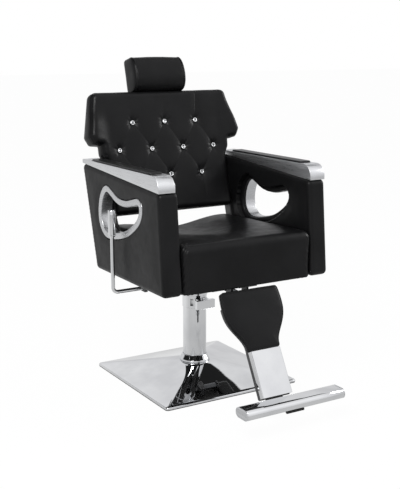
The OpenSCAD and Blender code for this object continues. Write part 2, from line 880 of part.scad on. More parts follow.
module seat_bolts() {
  color("gray") bolt_places() {
    translate([0, 0, plate_z - bolt_head_h]) cylinder(d = bolt_head_d, h = bolt_head_h, $fn = 6);
    translate([0, 0, plate_z]) cylinder(d = seat_bolt_d, h = bracket_t + rail_h + board_t - 2);
  }
}

board_half = seat_w / 2 - 15;
board_fore = seat_front - 15;
board_aft = seat_rear - 9;
arm_bolt_y = [-230, -70, 60];
arm_bolt_z = seat_z + board_t + batten_h / 2;
bolt_head_d = seat_bolt_d + 5;
bolt_head_h = 5;
bolt_room = 0.6;

// Board with its battens, from the given height up
module board_blank(low) {
  box([-board_half, -board_fore, low], [board_half, board_aft, seat_z + board_t]);
  both_sides() box(
    [board_half - batten_w, -board_fore, seat_z],
    [board_half, board_aft - 25, seat_z + board_t + batten_h]
  );
}

module seat_board() {
  color([0.09, 0.08, 0.08]) difference() {
    board_blank(seat_z);
    bolt_places() translate([0, 0, seat_z - 1]) cylinder(d = seat_bolt_d, h = board_t - 1);
    both_sides() for (y = arm_bolt_y)
      rod_x(seat_bolt_d, board_half - batten_w - 1, board_half + 1, [y, arm_bolt_z]);
  }
}

// Height of the seat's top at a plan point: a fall to the rear and a rounded scoop
function seat_top_at(x, y) =
  let (
    span = seat_front + seat_rear,
    base = seat_top - seat_fall * (y + seat_front) / span,
    rho = norm([x / (seat_w * 0.45), (y - seat_rear * 0.5) / (span * 0.66)])
  )
  base - scoop_depth * (rho < 1 ? 0.5 + 0.5 * cos(180 * rho) : 0);

// Plan outline of the seat: half width hw, front y0, rear y1
function seat_plan(hw, y0, y1, r) =
  let (
    rr = max(2, r),
    corner = function (cx, cy, a0) [for (a = [a0:22.5:a0 + 90]) [cx + rr * cos(a), cy + rr * sin(a)]],
    side = function (a, b, n) [for (k = [1:n]) a + (b - a) * k / (n + 1)]
  )
  concat(
    corner(hw - rr, y1 - rr, 0), side([hw - rr, y1], [rr - hw, y1], 8),
    corner(rr - hw, y1 - rr, 90), side([-hw, y1 - rr], [-hw, y0 + rr], 8),
    corner(rr - hw, y0 + rr, 180), side([rr - hw, y0], [hw - rr, y0], 8),
    corner(hw - rr, y0 + rr, 270), side([hw, y0 + rr], [hw, y1 - rr], 8)
  );

// One closed ring of the seat: pulled in by in_x and in_y, and by drop below the top
function seat_ring(in_x, in_y, z, drop, shrink = 1) = [
  for (p = seat_plan(
    seat_w / 2 - in_x,
    -seat_front + in_y,
    seat_rear + rear_slope * (z - seat_z) - in_y * 0.6,
    seat_corner_r - in_x * 0.6
  ))
    let (
      mid = [0, seat_rear * 0.6 - seat_front * 0.44],
      q = mid + (p - mid) * shrink
    )
    [q[0], q[1], drop < 0 ? z : seat_top_at(q[0], q[1]) - drop]
];

module seat_cushion() {
  side_r = 15;
  shoulder = seat_top - seat_front_r;
  round_steps = [20, 45, 70, 90];
  color([0.13, 0.13, 0.13]) difference() {
    skin(concat(
      [
        seat_ring(4, 4, seat_z, -1),
        seat_ring(0.5, 0.5, seat_z + 5, -1),
        seat_ring(2, 2.5, seat_z + seat_h * 0.45, -1),
        seat_ring(0, 0, shoulder - 14, -1)
      ],
      [for (a = round_steps) seat_ring(
        side_r * (1 - cos(a)), seat_front_r * (1 - cos(a)), shoulder, seat_front_r * (1 - sin(a))
      )],
      [for (s = [0.86, 0.7, 0.54, 0.38, 0.22, 0.1]) seat_ring(side_r, seat_front_r, shoulder, 0, s)]
    ));
    board_blank(seat_z - 1);
    both_sides() {
      for (y = arm_bolt_y) {
        rod_x(seat_bolt_d + bolt_room, board_half - 1, seat_w / 2 + 1, [y, arm_bolt_z]);
        rod_x(
          bolt_head_d + 1, board_half - batten_w - bolt_head_h - 1, board_half - batten_w + 1,
          [y, arm_bolt_z]
        );
      }
      box(
        [bar_x - bar_t - 1, back_pivot_y - bar_w / 2 - 13, seat_z - 1],
        [seat_w, seat_rear + seat_h, seat_top + seat_h]
      );
    }
    bolt_places() translate([0, 0, seat_z]) cylinder(d = seat_bolt_d + bolt_room, h = board_t + 1);
  }
}

// ---------- arms ----------

// Hand hole about its middle, in halves of its length and height
hole_shape = [
  [0.703, 1], [0.453, 0.855], [0.219, 0.645], [-0.047, 0.532], [-0.391, 0.548], [-0.719, 0.710],
  [-0.938, 0.790], [-1, 0.581], [-0.906, 0.161], [-0.656, -0.242], [-0.297, -0.629],
  [0.203, -0.903], [0.688, -1], [0.938, -0.645], [1, -0.065], [0.906, 0.613]
];
hole_loop = smooth_loop([
  for (p = hole_shape) hole_at + [p[0] * hole_len / 2, p[1] * hole_h / 2]
], 4);

core_x0 = arm_in_x + (arm_t - core_t) / 2;
core_inset = 22;
bolt_end_x = core_x0 + core_t - 4;

// Side view of the arm pulled in by d, at x
function arm_ring(x, d) =
  let (r = arm_edge_r + 3 - d * 0.8)
  [for (p = fillet([for (q = inset(arm_outline, d)) [q[0], q[1], r]], 4)) [x, p[0], p[1]]];

module arm_body() {
  edge = [for (a = [0:22.5:90]) arm_edge_r * [1 - cos(a), 1 - sin(a)]];
  n = len(edge) - 1;
  rings = concat(
    [for (e = edge) arm_ring(arm_in_x + e[0], e[1])],
    [for (k = [n:-1:0]) arm_ring(arm_out_x - edge[k][0], edge[k][1])]
  );
  difference() {
    skin(rings);
    side_plate(arm_in_x - 1, arm_out_x + 1, grow(hole_loop, trim_wall));
    side_plate(arm_out_x - trim_rim_t, arm_out_x + 1, grow(hole_loop, trim_rim_w));
    core_blank();
    for (y = arm_bolt_y) rod_x(seat_bolt_d + bolt_room, arm_in_x - 1, core_x0 + 1, [y, arm_bolt_z]);
  }
}

// Plywood core of an arm before it is drilled
module core_blank() {
  difference() {
    side_plate(core_x0, core_x0 + core_t, inset(arm_outline, core_inset));
    side_plate(core_x0 - 1, core_x0 + core_t + 1, grow(hole_loop, trim_rim_w * 0.6));
  }
}
module arm_core_solid() {
  difference() {
    core_blank();
    for (y = arm_bolt_y) rod_x(seat_bolt_d, core_x0 - 1, bolt_end_x, [y, arm_bolt_z]);
  }
}

module arm_left() {
  color([0.13, 0.13, 0.13]) arm_body();
}
module arm_right() {
  color([0.13, 0.13, 0.13]) mirror([1, 0, 0]) arm_body();
}
module arm_cores() {
  color("burlywood") both_sides() arm_core_solid();
}

module arm_bolts() {
  color("gray") both_sides() for (y = arm_bolt_y) {
    rod_x(seat_bolt_d, board_half - batten_w, bolt_end_x, [y, arm_bolt_z]);
    rod_x(bolt_head_d, board_half - batten_w - bolt_head_h, board_half - batten_w, [y, arm_bolt_z]);
  }
}

// Height of the arm's sloping top at y
function arm_top_at(y) =
  let (f = arm_outline[3], r = arm_outline[2])
  f[1] + (r[1] - f[1]) * (y - f[0]) / (r[0] - f[0]);

module arm_cap() {
  pocket_half = arm_pad_w / 2 + rim_t + groove_w;
  rim_half = arm_pad_w / 2 + rim_t;
  difference() {
    side_plate(cap_in_x, arm_out_x, fillet([
      [cap_front_y, arm_top_at(cap_front_y), 0],
      [cap_rear_y, arm_top_at(cap_rear_y), 0],
      [cap_rear_y, cap_z, 2],
      [cap_front_y, cap_z, cap_front_r]
    ], 10));
    difference() {
      box([pad_x - pocket_half, -pad_front - groove_w, cap_z - pad_seat],
          [pad_x + pocket_half, pad_rear + groove_w + rim_t, cap_z + 1]);
      box([pad_x - rim_half, -pad_front, cap_z - pad_seat - 1],
          [pad_x + rim_half, pad_rear + rim_t, cap_z + 2]);
    }
    box([pad_x - arm_pad_w / 2, -pad_front - 1, cap_z - pad_seat],
        [pad_x + arm_pad_w / 2, pad_rear, cap_z + 1]);
  }
}

module arm_cap_left() {
  color("darkgray") arm_cap();
}
module arm_cap_right() {
  color("darkgray") mirror([1, 0, 0]) arm_cap();
}

module arm_pads() {
  half = arm_pad_w / 2;
  thick = pad_seat + arm_pad_proud;
  profile = fillet([[-half, 0, 0.4], [half, 0, 0.4], [half, thick, 3], [-half, thick, 3]]);
  color([0.1, 0.1, 0.1]) both_sides()
    translate([pad_x, pad_rear, cap_z - pad_seat]) rotate([90, 0, 0])
      linear_extrude(pad_front + pad_rear) polygon(profile);
}

module hole_trim() {
  difference() {
    union() {
      side_plate(arm_out_x - trim_rim_t, arm_out_x, grow(hole_loop, trim_rim_w));
      side_plate(arm_out_x - trim_depth, arm_out_x, grow(hole_loop, trim_wall));
    }
    side_plate(arm_out_x - trim_depth - 1, arm_out_x + 1, hole_loop);
  }
}
module hole_trim_left() {
  color("darkgray") hole_trim();
}
module hole_trim_right() {
  color("darkgray") mirror([1, 0, 0]) hole_trim();
}

// ---------- bearings, strut, hinge ----------

block_x = 150;
block_half = 12;
hanger_x = [-208, -98];
hanger_half = 5;
pin_d = 5;
strut_rod_d = 8;
strut_lug = 7;
strut_lug_t = 12;

module bearing_blocks() {
  color([0.15, 0.15, 0.16]) {
    both_sides() difference() {
      box(
        [block_x - block_half, back_pivot_y - torque_d, back_pivot[2] - torque_d / 2 - 6],
        [block_x + block_half, back_pivot_y + torque_d - 1, seat_z]
      );
      rod_x(
        torque_d + 2 * run_gap, block_x - block_half - 1, block_x + block_half + 1,
        [back_pivot_y, back_pivot[2]]
      );
    }
    for (x = hanger_x) difference() {
      box(
        [x - hanger_half, lever_axis[0] - lever_d, lever_axis[1] - lever_d / 2 - 5],
        [x + hanger_half, lever_axis[0] + lever_d, seat_z]
      );
      rod_x(lever_d + 2 * run_gap, x - hanger_half - 1, x + hanger_half + 1, lever_axis);
    }
  }
}

strut_front = -lever_front + 14;
strut_back = 50;
strut_bore_d = strut_d - 5;
nose_eye_r = 5;

module strut_cylinder() {
  axis = [strut_x, strut_axis_z];
  color([0.1, 0.1, 0.1]) difference() {
    union() {
      rod_y(strut_d, strut_front, strut_back, axis);
      for (y = [strut_front + 2, strut_back - 2 - strut_lug_t])
        box([strut_x - strut_lug, y, strut_axis_z], [strut_x + strut_lug, y + strut_lug_t, plate_z]);
    }
    rod_y(strut_bore_d, strut_front + 12, strut_back - 8, axis);
    rod_y(strut_rod_d + 2 * run_gap, strut_back - 9, strut_back + 1, axis);
    rod_y(pin_d + 2 * run_gap, strut_front - 1, strut_front + 13, axis);
  }
}

module leg_hinge() {
  ear_t = 7;
  cross = rail_cross_y;
  post = -leg_pivot_front + 34;
  r = leg_knuckle_r - 0.4;
  tongue_t = 3.5;
  low = leg_pivot[2] - r;
  high = leg_pivot[2] + r;
  color([0.1, 0.1, 0.1]) difference() {
    union() {
      box(
        [-leg_hinge_w / 2, -leg_pivot_front - 10, seat_z - tongue_t],
        [leg_hinge_w / 2, cross, seat_z]
      );
      both_sides() {
        rod_x(2 * r, leg_hinge_w / 2 - ear_t, leg_hinge_w / 2, [leg_pivot[1], leg_pivot[2]]);
        side_plate(leg_hinge_w / 2 - ear_t, leg_hinge_w / 2, [
          [leg_pivot[1], low], [cross, low], [cross, seat_z],
          [post, seat_z], [post, high], [leg_pivot[1], high]
        ]);
      }
    }
    rod_x(leg_pin_d, -leg_hinge_w, leg_hinge_w, [leg_pivot[1], leg_pivot[2]]);
  }
}

module leg_pin() {
  color("gray") rod_x(leg_pin_d, -leg_hinge_w / 2, leg_hinge_w / 2, [leg_pivot[1], leg_pivot[2]]);
}

// ---------- recline lever ----------

lever_x = -arm_out_x - lever_out;
lever_bend_r = 16;

module lever_rod() {
  inner = strut_x + 6;
  top = lever_axis[1] + lever_rod_h;
  color("silver") {
    rod_x(lever_d, lever_x + lever_bend_r, inner, lever_axis);
    translate([lever_x + lever_bend_r, lever_axis[0], lever_axis[1] + lever_bend_r])
      rotate([90, 180, 0]) rotate_extrude(angle = 90) translate([lever_bend_r, 0]) circle(d = lever_d);
    translate([lever_x, lever_axis[0], lever_axis[1] + lever_bend_r])
      cylinder(d = lever_d, h = top - lever_axis[1] - lever_bend_r + 30);
    crank_plate(
      strut_x - 4, strut_x + 4,
      lever_axis, lever_d / 2 + 3,
      [lever_axis[0], strut_axis_z], nose_eye_r
    );
  }
}

module lever_grip() {
  foot = lever_axis[1] + lever_rod_h;
  color("silver") translate([lever_x, lever_axis[0], foot]) difference() {
    rotate_extrude() polygon(fillet([
      [0, 0, 0], [grip_d / 2 - 2, 0, 1], [grip_d / 2, 5, 1], [grip_d / 2, grip_len, 3], [0, grip_len, 0]
    ]));
    translate([0, 0, -1]) cylinder(d = lever_d, h = 31);
  }
}

module release_pin() {
  tip = lever_axis[0] + nose_eye_r + 1.2;
  color("gray") rod_y(pin_d, tip, strut_front + 6, [strut_x, strut_axis_z]);
}

// ---------- back ----------

back_outline = fillet(mirrored([
  [back_low_half, back_low, 14],
  [back_low_half, wing_low - 55, 20],
  [back_neck_half, wing_low - 29, 20],
  [back_neck_half, wing_low, 4],
  [wing_half - 13, wing_low + 3, 12],
  [wing_half, wing_low + wing_tip_h, 12],
  [back_top_half, back_top, 20]
]), 4);

buttons = [
  for (row = [-1:1]) for (k = row == 0 ? [-1.5:1.5] : [-1:1])
    [k * button_pitch, button_mid + row * button_rise]
];

// Pleats run between neighbouring buttons, and from the outer rows to the edges
pleats = concat(
  [for (row = [-1, 1]) for (k = [-1:1]) for (s = [-0.5, 0.5])
    [[k * button_pitch, button_mid + row * button_rise], [(k + s) * button_pitch, button_mid]]],
  [for (k = [-1:1])
    [[k * button_pitch, button_mid + button_rise], [k * button_pitch, back_top + 20]]],
  [for (k = [-1:1])
    [[k * button_pitch, button_mid - button_rise], [k * button_pitch, back_low - 20]]]
);

function smooth(t) = let (c = max(0, min(1, t))) c * c * (3 - 2 * c);

// Height of the back's front face over its nominal plane
function back_relief(x, z) =
  let (
    p = [x, z],
    pleat = min([for (s = pleats) line_distance(p, s[0], s[1])]),
    button = min([for (b = buttons) norm(p - b)]),
    wing = smooth((abs(x) - back_top_half * 0.8) / 75) * (1 - 0.85 * smooth((z - button_mid - 60) / 110)),
    low = smooth((z - wing_low + 60) / 60)
  )
  back_crown
  - 3 * exp(-pow(pleat / 9, 2))
  - (tuft_depth - 3) * exp(-pow(button / 20, 2))
  + wing_wrap * wing * low
  - edge_fall(edge_distance(p, back_outline), 20);

module back_cushion() {
  half = wing_half + 2;
  cols = 38;
  rows = 19;
  xs = [for (i = [0:cols]) -half + 2 * half * i / cols];
  zs = [for (j = [0:rows]) back_low - 2 + (back_top - back_low + 4) * j / rows];
  rear = board_back;
  n = cols + 1;
  front = [for (z = zs) for (x = xs) [x, -back_front - back_relief(x, z), z]];
  c0 = len(front);
  corners = [[-half, rear, zs[0]], [half, rear, zs[0]], [half, rear, zs[rows]], [-half, rear, zs[rows]]];
  face = [
    for (j = [0:rows - 1]) for (i = [0:cols - 1])
      let (a = j * n + i)
      for (f = [[a, a + n + 1, a + 1], [a, a + n, a + n + 1]]) f
  ];
  low = concat([for (i = [0:cols - 1]) [c0, i, i + 1]], [[c0, cols, c0 + 1]]);
  high = concat([for (i = [0:cols - 1]) [c0 + 2, rows * n + i + 1, rows * n + i]],
    [[c0 + 2, rows * n, c0 + 3]]);
  left = concat([for (j = [0:rows - 1]) [c0 + 3, (j + 1) * n, j * n]], [[c0 + 3, 0, c0]]);
  right = concat([for (j = [0:rows - 1]) [c0 + 1, j * n + cols, (j + 1) * n + cols]],
    [[c0 + 1, rows * n + cols, c0 + 2]]);
  back = [[c0, c0 + 1, c0 + 2], [c0, c0 + 2, c0 + 3]];
  color([0.12, 0.12, 0.12]) on_back() difference() {
    intersection() {
      polyhedron(points = concat(front, corners), faces = concat(face, low, high, left, right, back));
      back_slab(back_outline, -back_front - 60, rear + 1);
    }
    back_slab(board_outline, board_front, rear + 1);
    bar_rebates();
    for (b = buttons) rod_y(button_d + 0.6, -back_front - 40, button_seat_y, b);
    for (x = [-1, 1]) translate([x * post_pitch / 2, post_y, back_top - guide_len])
      cylinder(r = guide_r + 0.2, h = guide_len + 20);
  }
}

// Flat seat of each button cup, cut into the cushion's front
button_seat_y = -back_front - back_crown + tuft_depth + 1;
board_outline = inset_loop(back_outline, 9);
function inset_loop(pts, d) = grow(pts, -d);

module back_slab(outline, y0, y1) {
  translate([0, y1, 0]) rotate([90, 0, 0]) linear_extrude(y1 - y0) polygon(outline);
}

module bar_rebates() {
  both_sides() box([bar_x - bar_t - 0.3, -bar_w / 2 - 0.3, 0], [wing_half, back_t, back_low + 82]);
}

module back_board() {
  color("burlywood") on_back() difference() {
    back_slab(board_outline, board_front, board_back);
    bar_rebates();
  }
}

module back_cover() {
  color([0.1, 0.1, 0.1]) on_back() difference() {
    back_slab(inset_loop(back_outline, 3), board_back, board_back + back_cover_t);
    bar_rebates();
  }
}

module back_bars() {
  color([0.2, 0.2, 0.2]) on_back() both_sides() union() {
    rod_x(bar_w, bar_x - bar_t, bar_x, [0, 0]);
    box([bar_x - bar_t, -bar_w / 2, 0], [bar_x, bar_w / 2, back_low + 80]);
  }
}

module torque_shaft() {
  half = bar_x - bar_t;
  color("gray") rod_x(torque_d, -half, half, [back_pivot[1], back_pivot[2]]);
}

// Fork of two plates with a pin across it
module crank_fork(x, a, ra, inner) {
  b = a + [crank_v[1], crank_v[2]];
  for (s = [-1, 1])
    let (x0 = x + s * (inner / 2 + fork_gap), x1 = x0 + s * fork_t)
    difference() {
      crank_plate(min(x0, x1), max(x0, x1), a, ra, b, crank_eye_r);
      rod_x(crank_pin_d, min(x0, x1) - 1, max(x0, x1) + 1, b);
    }
  rod_x(crank_pin_d, x - inner / 2 - fork_gap - fork_t, x + inner / 2 + fork_gap + fork_t, b);
}

module crank_arms() {
  pivot = [back_pivot[1], back_pivot[2]];
  color("dimgray") difference() {
    union() {
      crank_fork(link_x, pivot, torque_d / 2 + 5, link_t);
      crank_fork(strut_x, pivot, torque_d / 2 + 5, link_t);
    }
    rod_x(torque_d, -seat_w / 2, seat_w / 2, pivot);
  }
}

cup_floor = 1.5;
cup_wall = 1.5;

module button_cups() {
  color("silver") on_back() for (b = buttons)
    translate([b[0], button_seat_y, b[1]]) rotate([90, 0, 0]) difference() {
      cylinder(d = button_d, h = 4, $fn = 24);
      translate([0, 0, cup_floor]) cylinder(d = button_d - 2 * cup_wall, h = 3, $fn = 24);
    }
}

module button_stones() {
  color("white") on_back() for (b = buttons)
    translate([b[0], button_seat_y - cup_floor, b[1]]) rotate([90, 0, 0]) {
      cylinder(d = button_d - 2 * cup_wall, h = 2, $fn = 24);
      translate([0, 0, 2]) cylinder(d1 = button_d - 2 * cup_wall, d2 = button_d * 0.4, h = 2.5, $fn = 24);
    }
}

module headrest_guides() {
  color([0.08, 0.08, 0.08]) on_back() for (x = [-1, 1])
    translate([x * post_pitch / 2, post_y, back_top - guide_len]) difference() {
      cylinder(r = guide_r, h = guide_len);
      translate([0, 0, -1]) cylinder(r = post_d / 2 + run_gap, h = guide_len + 2);
    }
}

// ---------- headrest ----------

post_grip = 6 * post_d;

module headrest_posts() {
  color("silver") on_back() for (x = [-1, 1])
    translate([x * post_pitch / 2, post_y, back_top - guide_len + 8])
      cylinder(d = post_d, h = guide_len - 8 + 1 + post_grip);
}

// Section of the pillow: flat rear and underside, rounded front, pulled in by d
function pillow_section(x, d) =
  let (
    rear = headrest_rear - d,
    low = headrest_z + d,
    high = headrest_z + headrest_h - d,
    mid_y = headrest_rear - headrest_t * 0.5,
    ry = headrest_t * 0.5 - d,
    mid_z = headrest_z + headrest_h * 0.47,
    steps = 18
  )
  concat(
    [for (k = [0:steps]) let (a = -90 + 180 * k / steps, rz = a < 0 ? mid_z - low : high - mid_z)
      [x, mid_y - ry * pow(cos(a), 0.8), mid_z + rz * sin(a)]],
    [for (k = [1:3]) [x, mid_y + (rear - 8 - mid_y) * k / 3, high]],
    [[x, rear - 2, high - 2], [x, rear, high - 8]],
    [for (k = [1:3]) [x, rear, high - 8 + (low + 16 - high) * k / 3]],
    [[x, rear - 2, low + 2], [x, rear - 8, low]],
    [for (k = [1:2]) [x, rear - 8 + (mid_y - rear + 8) * k / 3, low]]
  );

module headrest_pad() {
  half = headrest_w / 2;
  ends = [[0, 9], [2, 4], [6, 1], [12, 0], [half * 0.5, -0.8]];
  rings = concat(
    [for (e = ends) pillow_section(half - e[0], e[1])],
    [pillow_section(0, -1)],
    [for (k = [len(ends) - 1:-1:0]) pillow_section(ends[k][0] - half, ends[k][1])]
  );
  color([0.12, 0.12, 0.12]) on_back() difference() {
    skin(rings);
    for (x = [-1, 1]) translate([x * post_pitch / 2, post_y, headrest_z - 5])
      cylinder(d = post_d + 0.4, h = post_grip + 5);
  }
}

// ---------- leg rest ----------

// Board behind the calf pad and the leg plate; it starts below the hinge
module leg_board() {
  rear = leg_board_t - frame_back;
  start = calf_above + 30;
  end = calf_len + 5;
  rows = 12;
  side = [
    for (k = [0:rows]) let (s = start + (end - start) * k / rows) [calf_half(s) - 5, calf_above - s]
  ];
  translate([0, rear, 0]) rotate([90, 0, 0]) linear_extrude(leg_board_t)
    polygon(concat([for (p = side) [-p[0], p[1]]], [for (k = [rows:-1:0]) side[k]]));
  box(
    [-leg_plate_w / 2 + 1, -leg_face + leg_plate_fold + 0.2, -plate_low - 3],
    [leg_plate_w / 2 - 1, rear - 1, -calf_low]
  );
}

module leg_frame() {
  pivot = [leg_pivot[1], leg_pivot[2]];
  knuckle = leg_hinge_w / 2 - 7.5;
  strip_half = knuckle - 2;
  fork_in = link_x - link_t / 2 - fork_gap - fork_t;
  fork_out = link_x + link_t / 2 + fork_gap + fork_t;
  r = leg_knuckle_r;
  color([0.1, 0.1, 0.1]) difference() {
    union() {
      rod_x(2 * r, -knuckle, knuckle, pivot);
      crank_fork(link_x, pivot, r, link_t);
      on_leg() {
        box([-strip_half, 1 - frame_back, -plate_low - 8], [strip_half, 1 - frame_back + leg_strip_t, 0]);
        leg_board();
        box([strip_half - 1, -frame_back, -r - 14], [fork_out, -frame_back + leg_strip_t, -r - 1]);
        box([fork_in, -frame_back, -r - 14], [fork_out, 4, -r - 1]);
      }
    }
    rod_x(leg_pin_d + 2 * run_gap, -leg_hinge_w, leg_hinge_w, pivot);
    box([-leg_plate_w, bar_at[0], 0], [leg_plate_w, 0, strap_z + strap_t]);
  }
}

// Half width of the calf pad at distance s below its top
function calf_half(s) =
  let (
    top = calf_w / 2,
    foot = leg_plate_w / 2 + 3,
    t = max(0, min(1, (s - 45) / (calf_len - 55)))
  )
  foot + (top + calf_bulge - foot) * (0.5 + 0.5 * cos(180 * pow(t, 1.35)))
  - calf_bulge * pow(max(0, 1 - s / 45), 2);

// Outline of the calf pad as [x, down], counter-clockwise
function calf_outline(d) =
  let (rows = 16, zs = [for (k = [0:rows]) d + (calf_len - 2 * d) * k / rows])
  concat(
    [for (k = [0:rows]) [calf_half(zs[k]) - d - (k == 0 || k == rows ? 5 : 0), zs[k]]],
    [for (k = [2:-1:-2]) [k * 15, zs[rows]]],
    [for (k = [rows:-1:0]) [-(calf_half(zs[k]) - d - (k == 0 || k == rows ? 5 : 0)), zs[k]]],
    [for (k = [-2:2]) [k * 38, zs[0]]]
  );

module calf_pad() {
  levels = [[3, 0], [0.5, 2], [0, calf_t * 0.5], [1.5, calf_t - 5], [5, calf_t - 1.4], [11, calf_t]];
  rings = [
    for (l = levels)
      [for (p = calf_outline(l[0])) [p[0], -frame_back - l[1], calf_above - p[1]]]
  ];
  mid = calf_len / 2;
  crown = [
    for (s = [0.7, 0.4])
      [for (p = calf_outline(11))
        [p[0] * s, -frame_back - calf_t - 1.5 * (1 - s), calf_above - mid - (p[1] - mid) * s]]
  ];
  color([0.12, 0.12, 0.12]) on_leg() skin([
    for (ring = concat(rings, crown)) [for (k = [len(ring) - 1:-1:0]) ring[k]]
  ]);
}

module leg_plate() {
  half = leg_plate_w / 2;
  color("silver") on_leg() difference() {
    box([-half, -leg_face, -plate_low], [half, -leg_face + leg_plate_fold, -calf_low - 1]);
    box(
      [-half + leg_plate_t, -leg_face + leg_plate_t, -plate_low - 1],
      [half - leg_plate_t, -leg_face + leg_plate_fold + 1, -calf_low - 1 - leg_plate_t]
    );
  }
}

// ---------- foot bar ----------

module stadium(w, h) {
  square([w - h, h], center = true);
  for (s = [-1, 1]) translate([s * (w - h) / 2, 0]) circle(d = h);
}

module foot_strap() {
  rear = leg_pivot[1] - plate_low * sin(leg_tilt) - 3;
  color([0.75, 0.75, 0.77]) box([-strap_w / 2, strap_front, strap_z], [strap_w / 2, rear, strap_z + strap_t]);
}

module foot_bar() {
  half = bar_len / 2 - 3;
  color("silver") translate([-half, bar_at[0], bar_at[1]]) rotate([90, 0, 90]) linear_extrude(2 * half)
    difference() {
      stadium(bar_depth, bar_h);
      stadium(bar_depth - 2 * bar_wall, bar_h - 2 * bar_wall);
    }
}

module foot_bar_caps() {
  half = bar_len / 2;
  color("lightgray") both_sides() translate([half - 3, bar_at[0], bar_at[1]]) rotate([90, 0, 90]) {
    linear_extrude(3) stadium(bar_depth, bar_h);
    translate([0, 0, -12]) linear_extrude(12) stadium(bar_depth - 2 * bar_wall, bar_h - 2 * bar_wall);
  }
}

module foot_bumper() {
  color("black") box(
    [-strap_w / 2, strap_front - bumper_t, strap_z - 2],
    [strap_w / 2, strap_front, strap_z + strap_t - 1]
  );
}

// ---------- link and strut rod ----------

module sync_link() {
  a = [back_pivot[1] + crank_v[1], back_pivot[2] + crank_v[2]];
  b = [leg_pivot[1] + crank_v[1], leg_pivot[2] + crank_v[2]];
  color("silver") difference() {
    crank_plate(link_x - link_t / 2, link_x + link_t / 2, a, crank_eye_r, b, crank_eye_r);
    rod_x(crank_pin_d + 2 * run_gap, link_x - link_t, link_x + link_t, a);
    rod_x(crank_pin_d + 1, link_x - link_t, link_x + link_t, b);
  }
}

module strut_rod() {
  eye_y = back_pivot[1] + crank_v[1];
  rise = crank_r * (1 - cos(crank_lean)) / 2;
  eye_r = crank_pin_d / 2 + 0.5;
  color("silver") difference() {
    union() {
      rod_y(strut_rod_d, strut_back - 40, eye_y - eye_r - 2, [strut_x, strut_axis_z]);
      rod_y(strut_bore_d - 0.2, strut_back - 28, strut_back - 20, [strut_x, strut_axis_z]);
      box(
        [strut_x - link_t / 2, eye_y - eye_r - 5, strut_axis_z - rise - eye_r - 5],
        [strut_x + link_t / 2, eye_y + eye_r + 5, strut_axis_z + rise + eye_r + 5]
      );
    }
    for (s = [-1, 1]) rod_x(2 * eye_r, strut_x - link_t, strut_x + link_t, [eye_y, strut_axis_z + s * rise]);
    box(
      [strut_x - link_t, eye_y - eye_r, strut_axis_z - rise],
      [strut_x + link_t, eye_y + eye_r, strut_axis_z + rise]
    );
  }
}

ground_plate();
base_gasket();
base_cover();
base_bolts();
collar_ring();
inner_tube();
tube_gland();
outer_sleeve();
sleeve_bush();
pump_head();
ram();
piston();
piston_seal();
spindle();
thrust_washer();
pedal_pin();
pump_plunger();
pedal_lever();
pedal_rubber();
seat_bracket();
seat_rails();
seat_bolts();
seat_board();
seat_cushion();
arm_left();
arm_right();
arm_cores();
arm_bolts();
arm_cap_left();
arm_cap_right();
arm_pads();
hole_trim_left();
hole_trim_right();
bearing_blocks();
strut_cylinder();
leg_hinge();
lever_rod();
lever_grip();
release_pin();
torque_shaft();
back_bars();
crank_arms();
back_board();
back_cushion();
back_cover();
button_cups();
button_stones();
headrest_guides();
headrest_posts();
headrest_pad();
leg_pin();
leg_frame();
calf_pad();
leg_plate();
foot_strap();
foot_bar();
foot_bar_caps();
foot_bumper();
sync_link();
strut_rod();
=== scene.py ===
import bmesh
import bpy
import json
import math
import numpy
from mathutils import Matrix, Vector, noise


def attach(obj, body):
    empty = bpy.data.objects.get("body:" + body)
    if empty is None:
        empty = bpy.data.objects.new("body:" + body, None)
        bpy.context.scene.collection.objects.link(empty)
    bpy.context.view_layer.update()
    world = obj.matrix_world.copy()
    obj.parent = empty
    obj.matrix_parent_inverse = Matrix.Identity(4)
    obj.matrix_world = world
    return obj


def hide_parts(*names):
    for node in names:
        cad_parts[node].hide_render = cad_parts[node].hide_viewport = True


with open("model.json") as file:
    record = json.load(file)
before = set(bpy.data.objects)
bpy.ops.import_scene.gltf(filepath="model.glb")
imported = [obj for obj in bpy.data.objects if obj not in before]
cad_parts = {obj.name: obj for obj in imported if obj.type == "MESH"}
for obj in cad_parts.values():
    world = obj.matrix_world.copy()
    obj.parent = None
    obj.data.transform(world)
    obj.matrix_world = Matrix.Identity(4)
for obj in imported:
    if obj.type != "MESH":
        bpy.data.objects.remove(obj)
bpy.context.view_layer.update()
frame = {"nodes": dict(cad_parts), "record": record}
cadNodes = frame["nodes"]
print("frame loaded")


# ---------- selection, shaping and finishing ----------

def clearSelection():
    if bpy.context.object and bpy.context.object.mode != "OBJECT":
        bpy.ops.object.mode_set(mode="OBJECT")
    bpy.ops.object.select_all(action="DESELECT")


def makeActive(piece):
    clearSelection()
    piece.select_set(True)
    bpy.context.view_layer.objects.active = piece


def startShape(name, piece):
    piece.name = name
    piece.data.name = name
    bpy.ops.object.mode_set(mode="EDIT")
    return bmesh.from_edit_mesh(piece.data)


# Extrudes the selected loop once per ring and puts each new vertex at its place on that ring
def extendLoop(piece, rings):
    for ring in rings:
        bpy.ops.mesh.extrude_edges_move()
        shape = bmesh.from_edit_mesh(piece.data)
        order = shape.verts.layers.int["order"]
        for v in shape.verts:
            if v.select:
                v.co = ring[v[order]]
        bmesh.update_edit_mesh(piece.data)


# Selects the ring that a piece was started from
def selectFirst(piece, count):
    bpy.ops.mesh.select_all(action="DESELECT")
    shape = bmesh.from_edit_mesh(piece.data)
    shape.verts.ensure_lookup_table()
    for k in range(count):
        shape.verts[k].select = True
    for e in shape.edges:
        e.select = e.verts[0].select and e.verts[1].select
    bmesh.update_edit_mesh(piece.data)


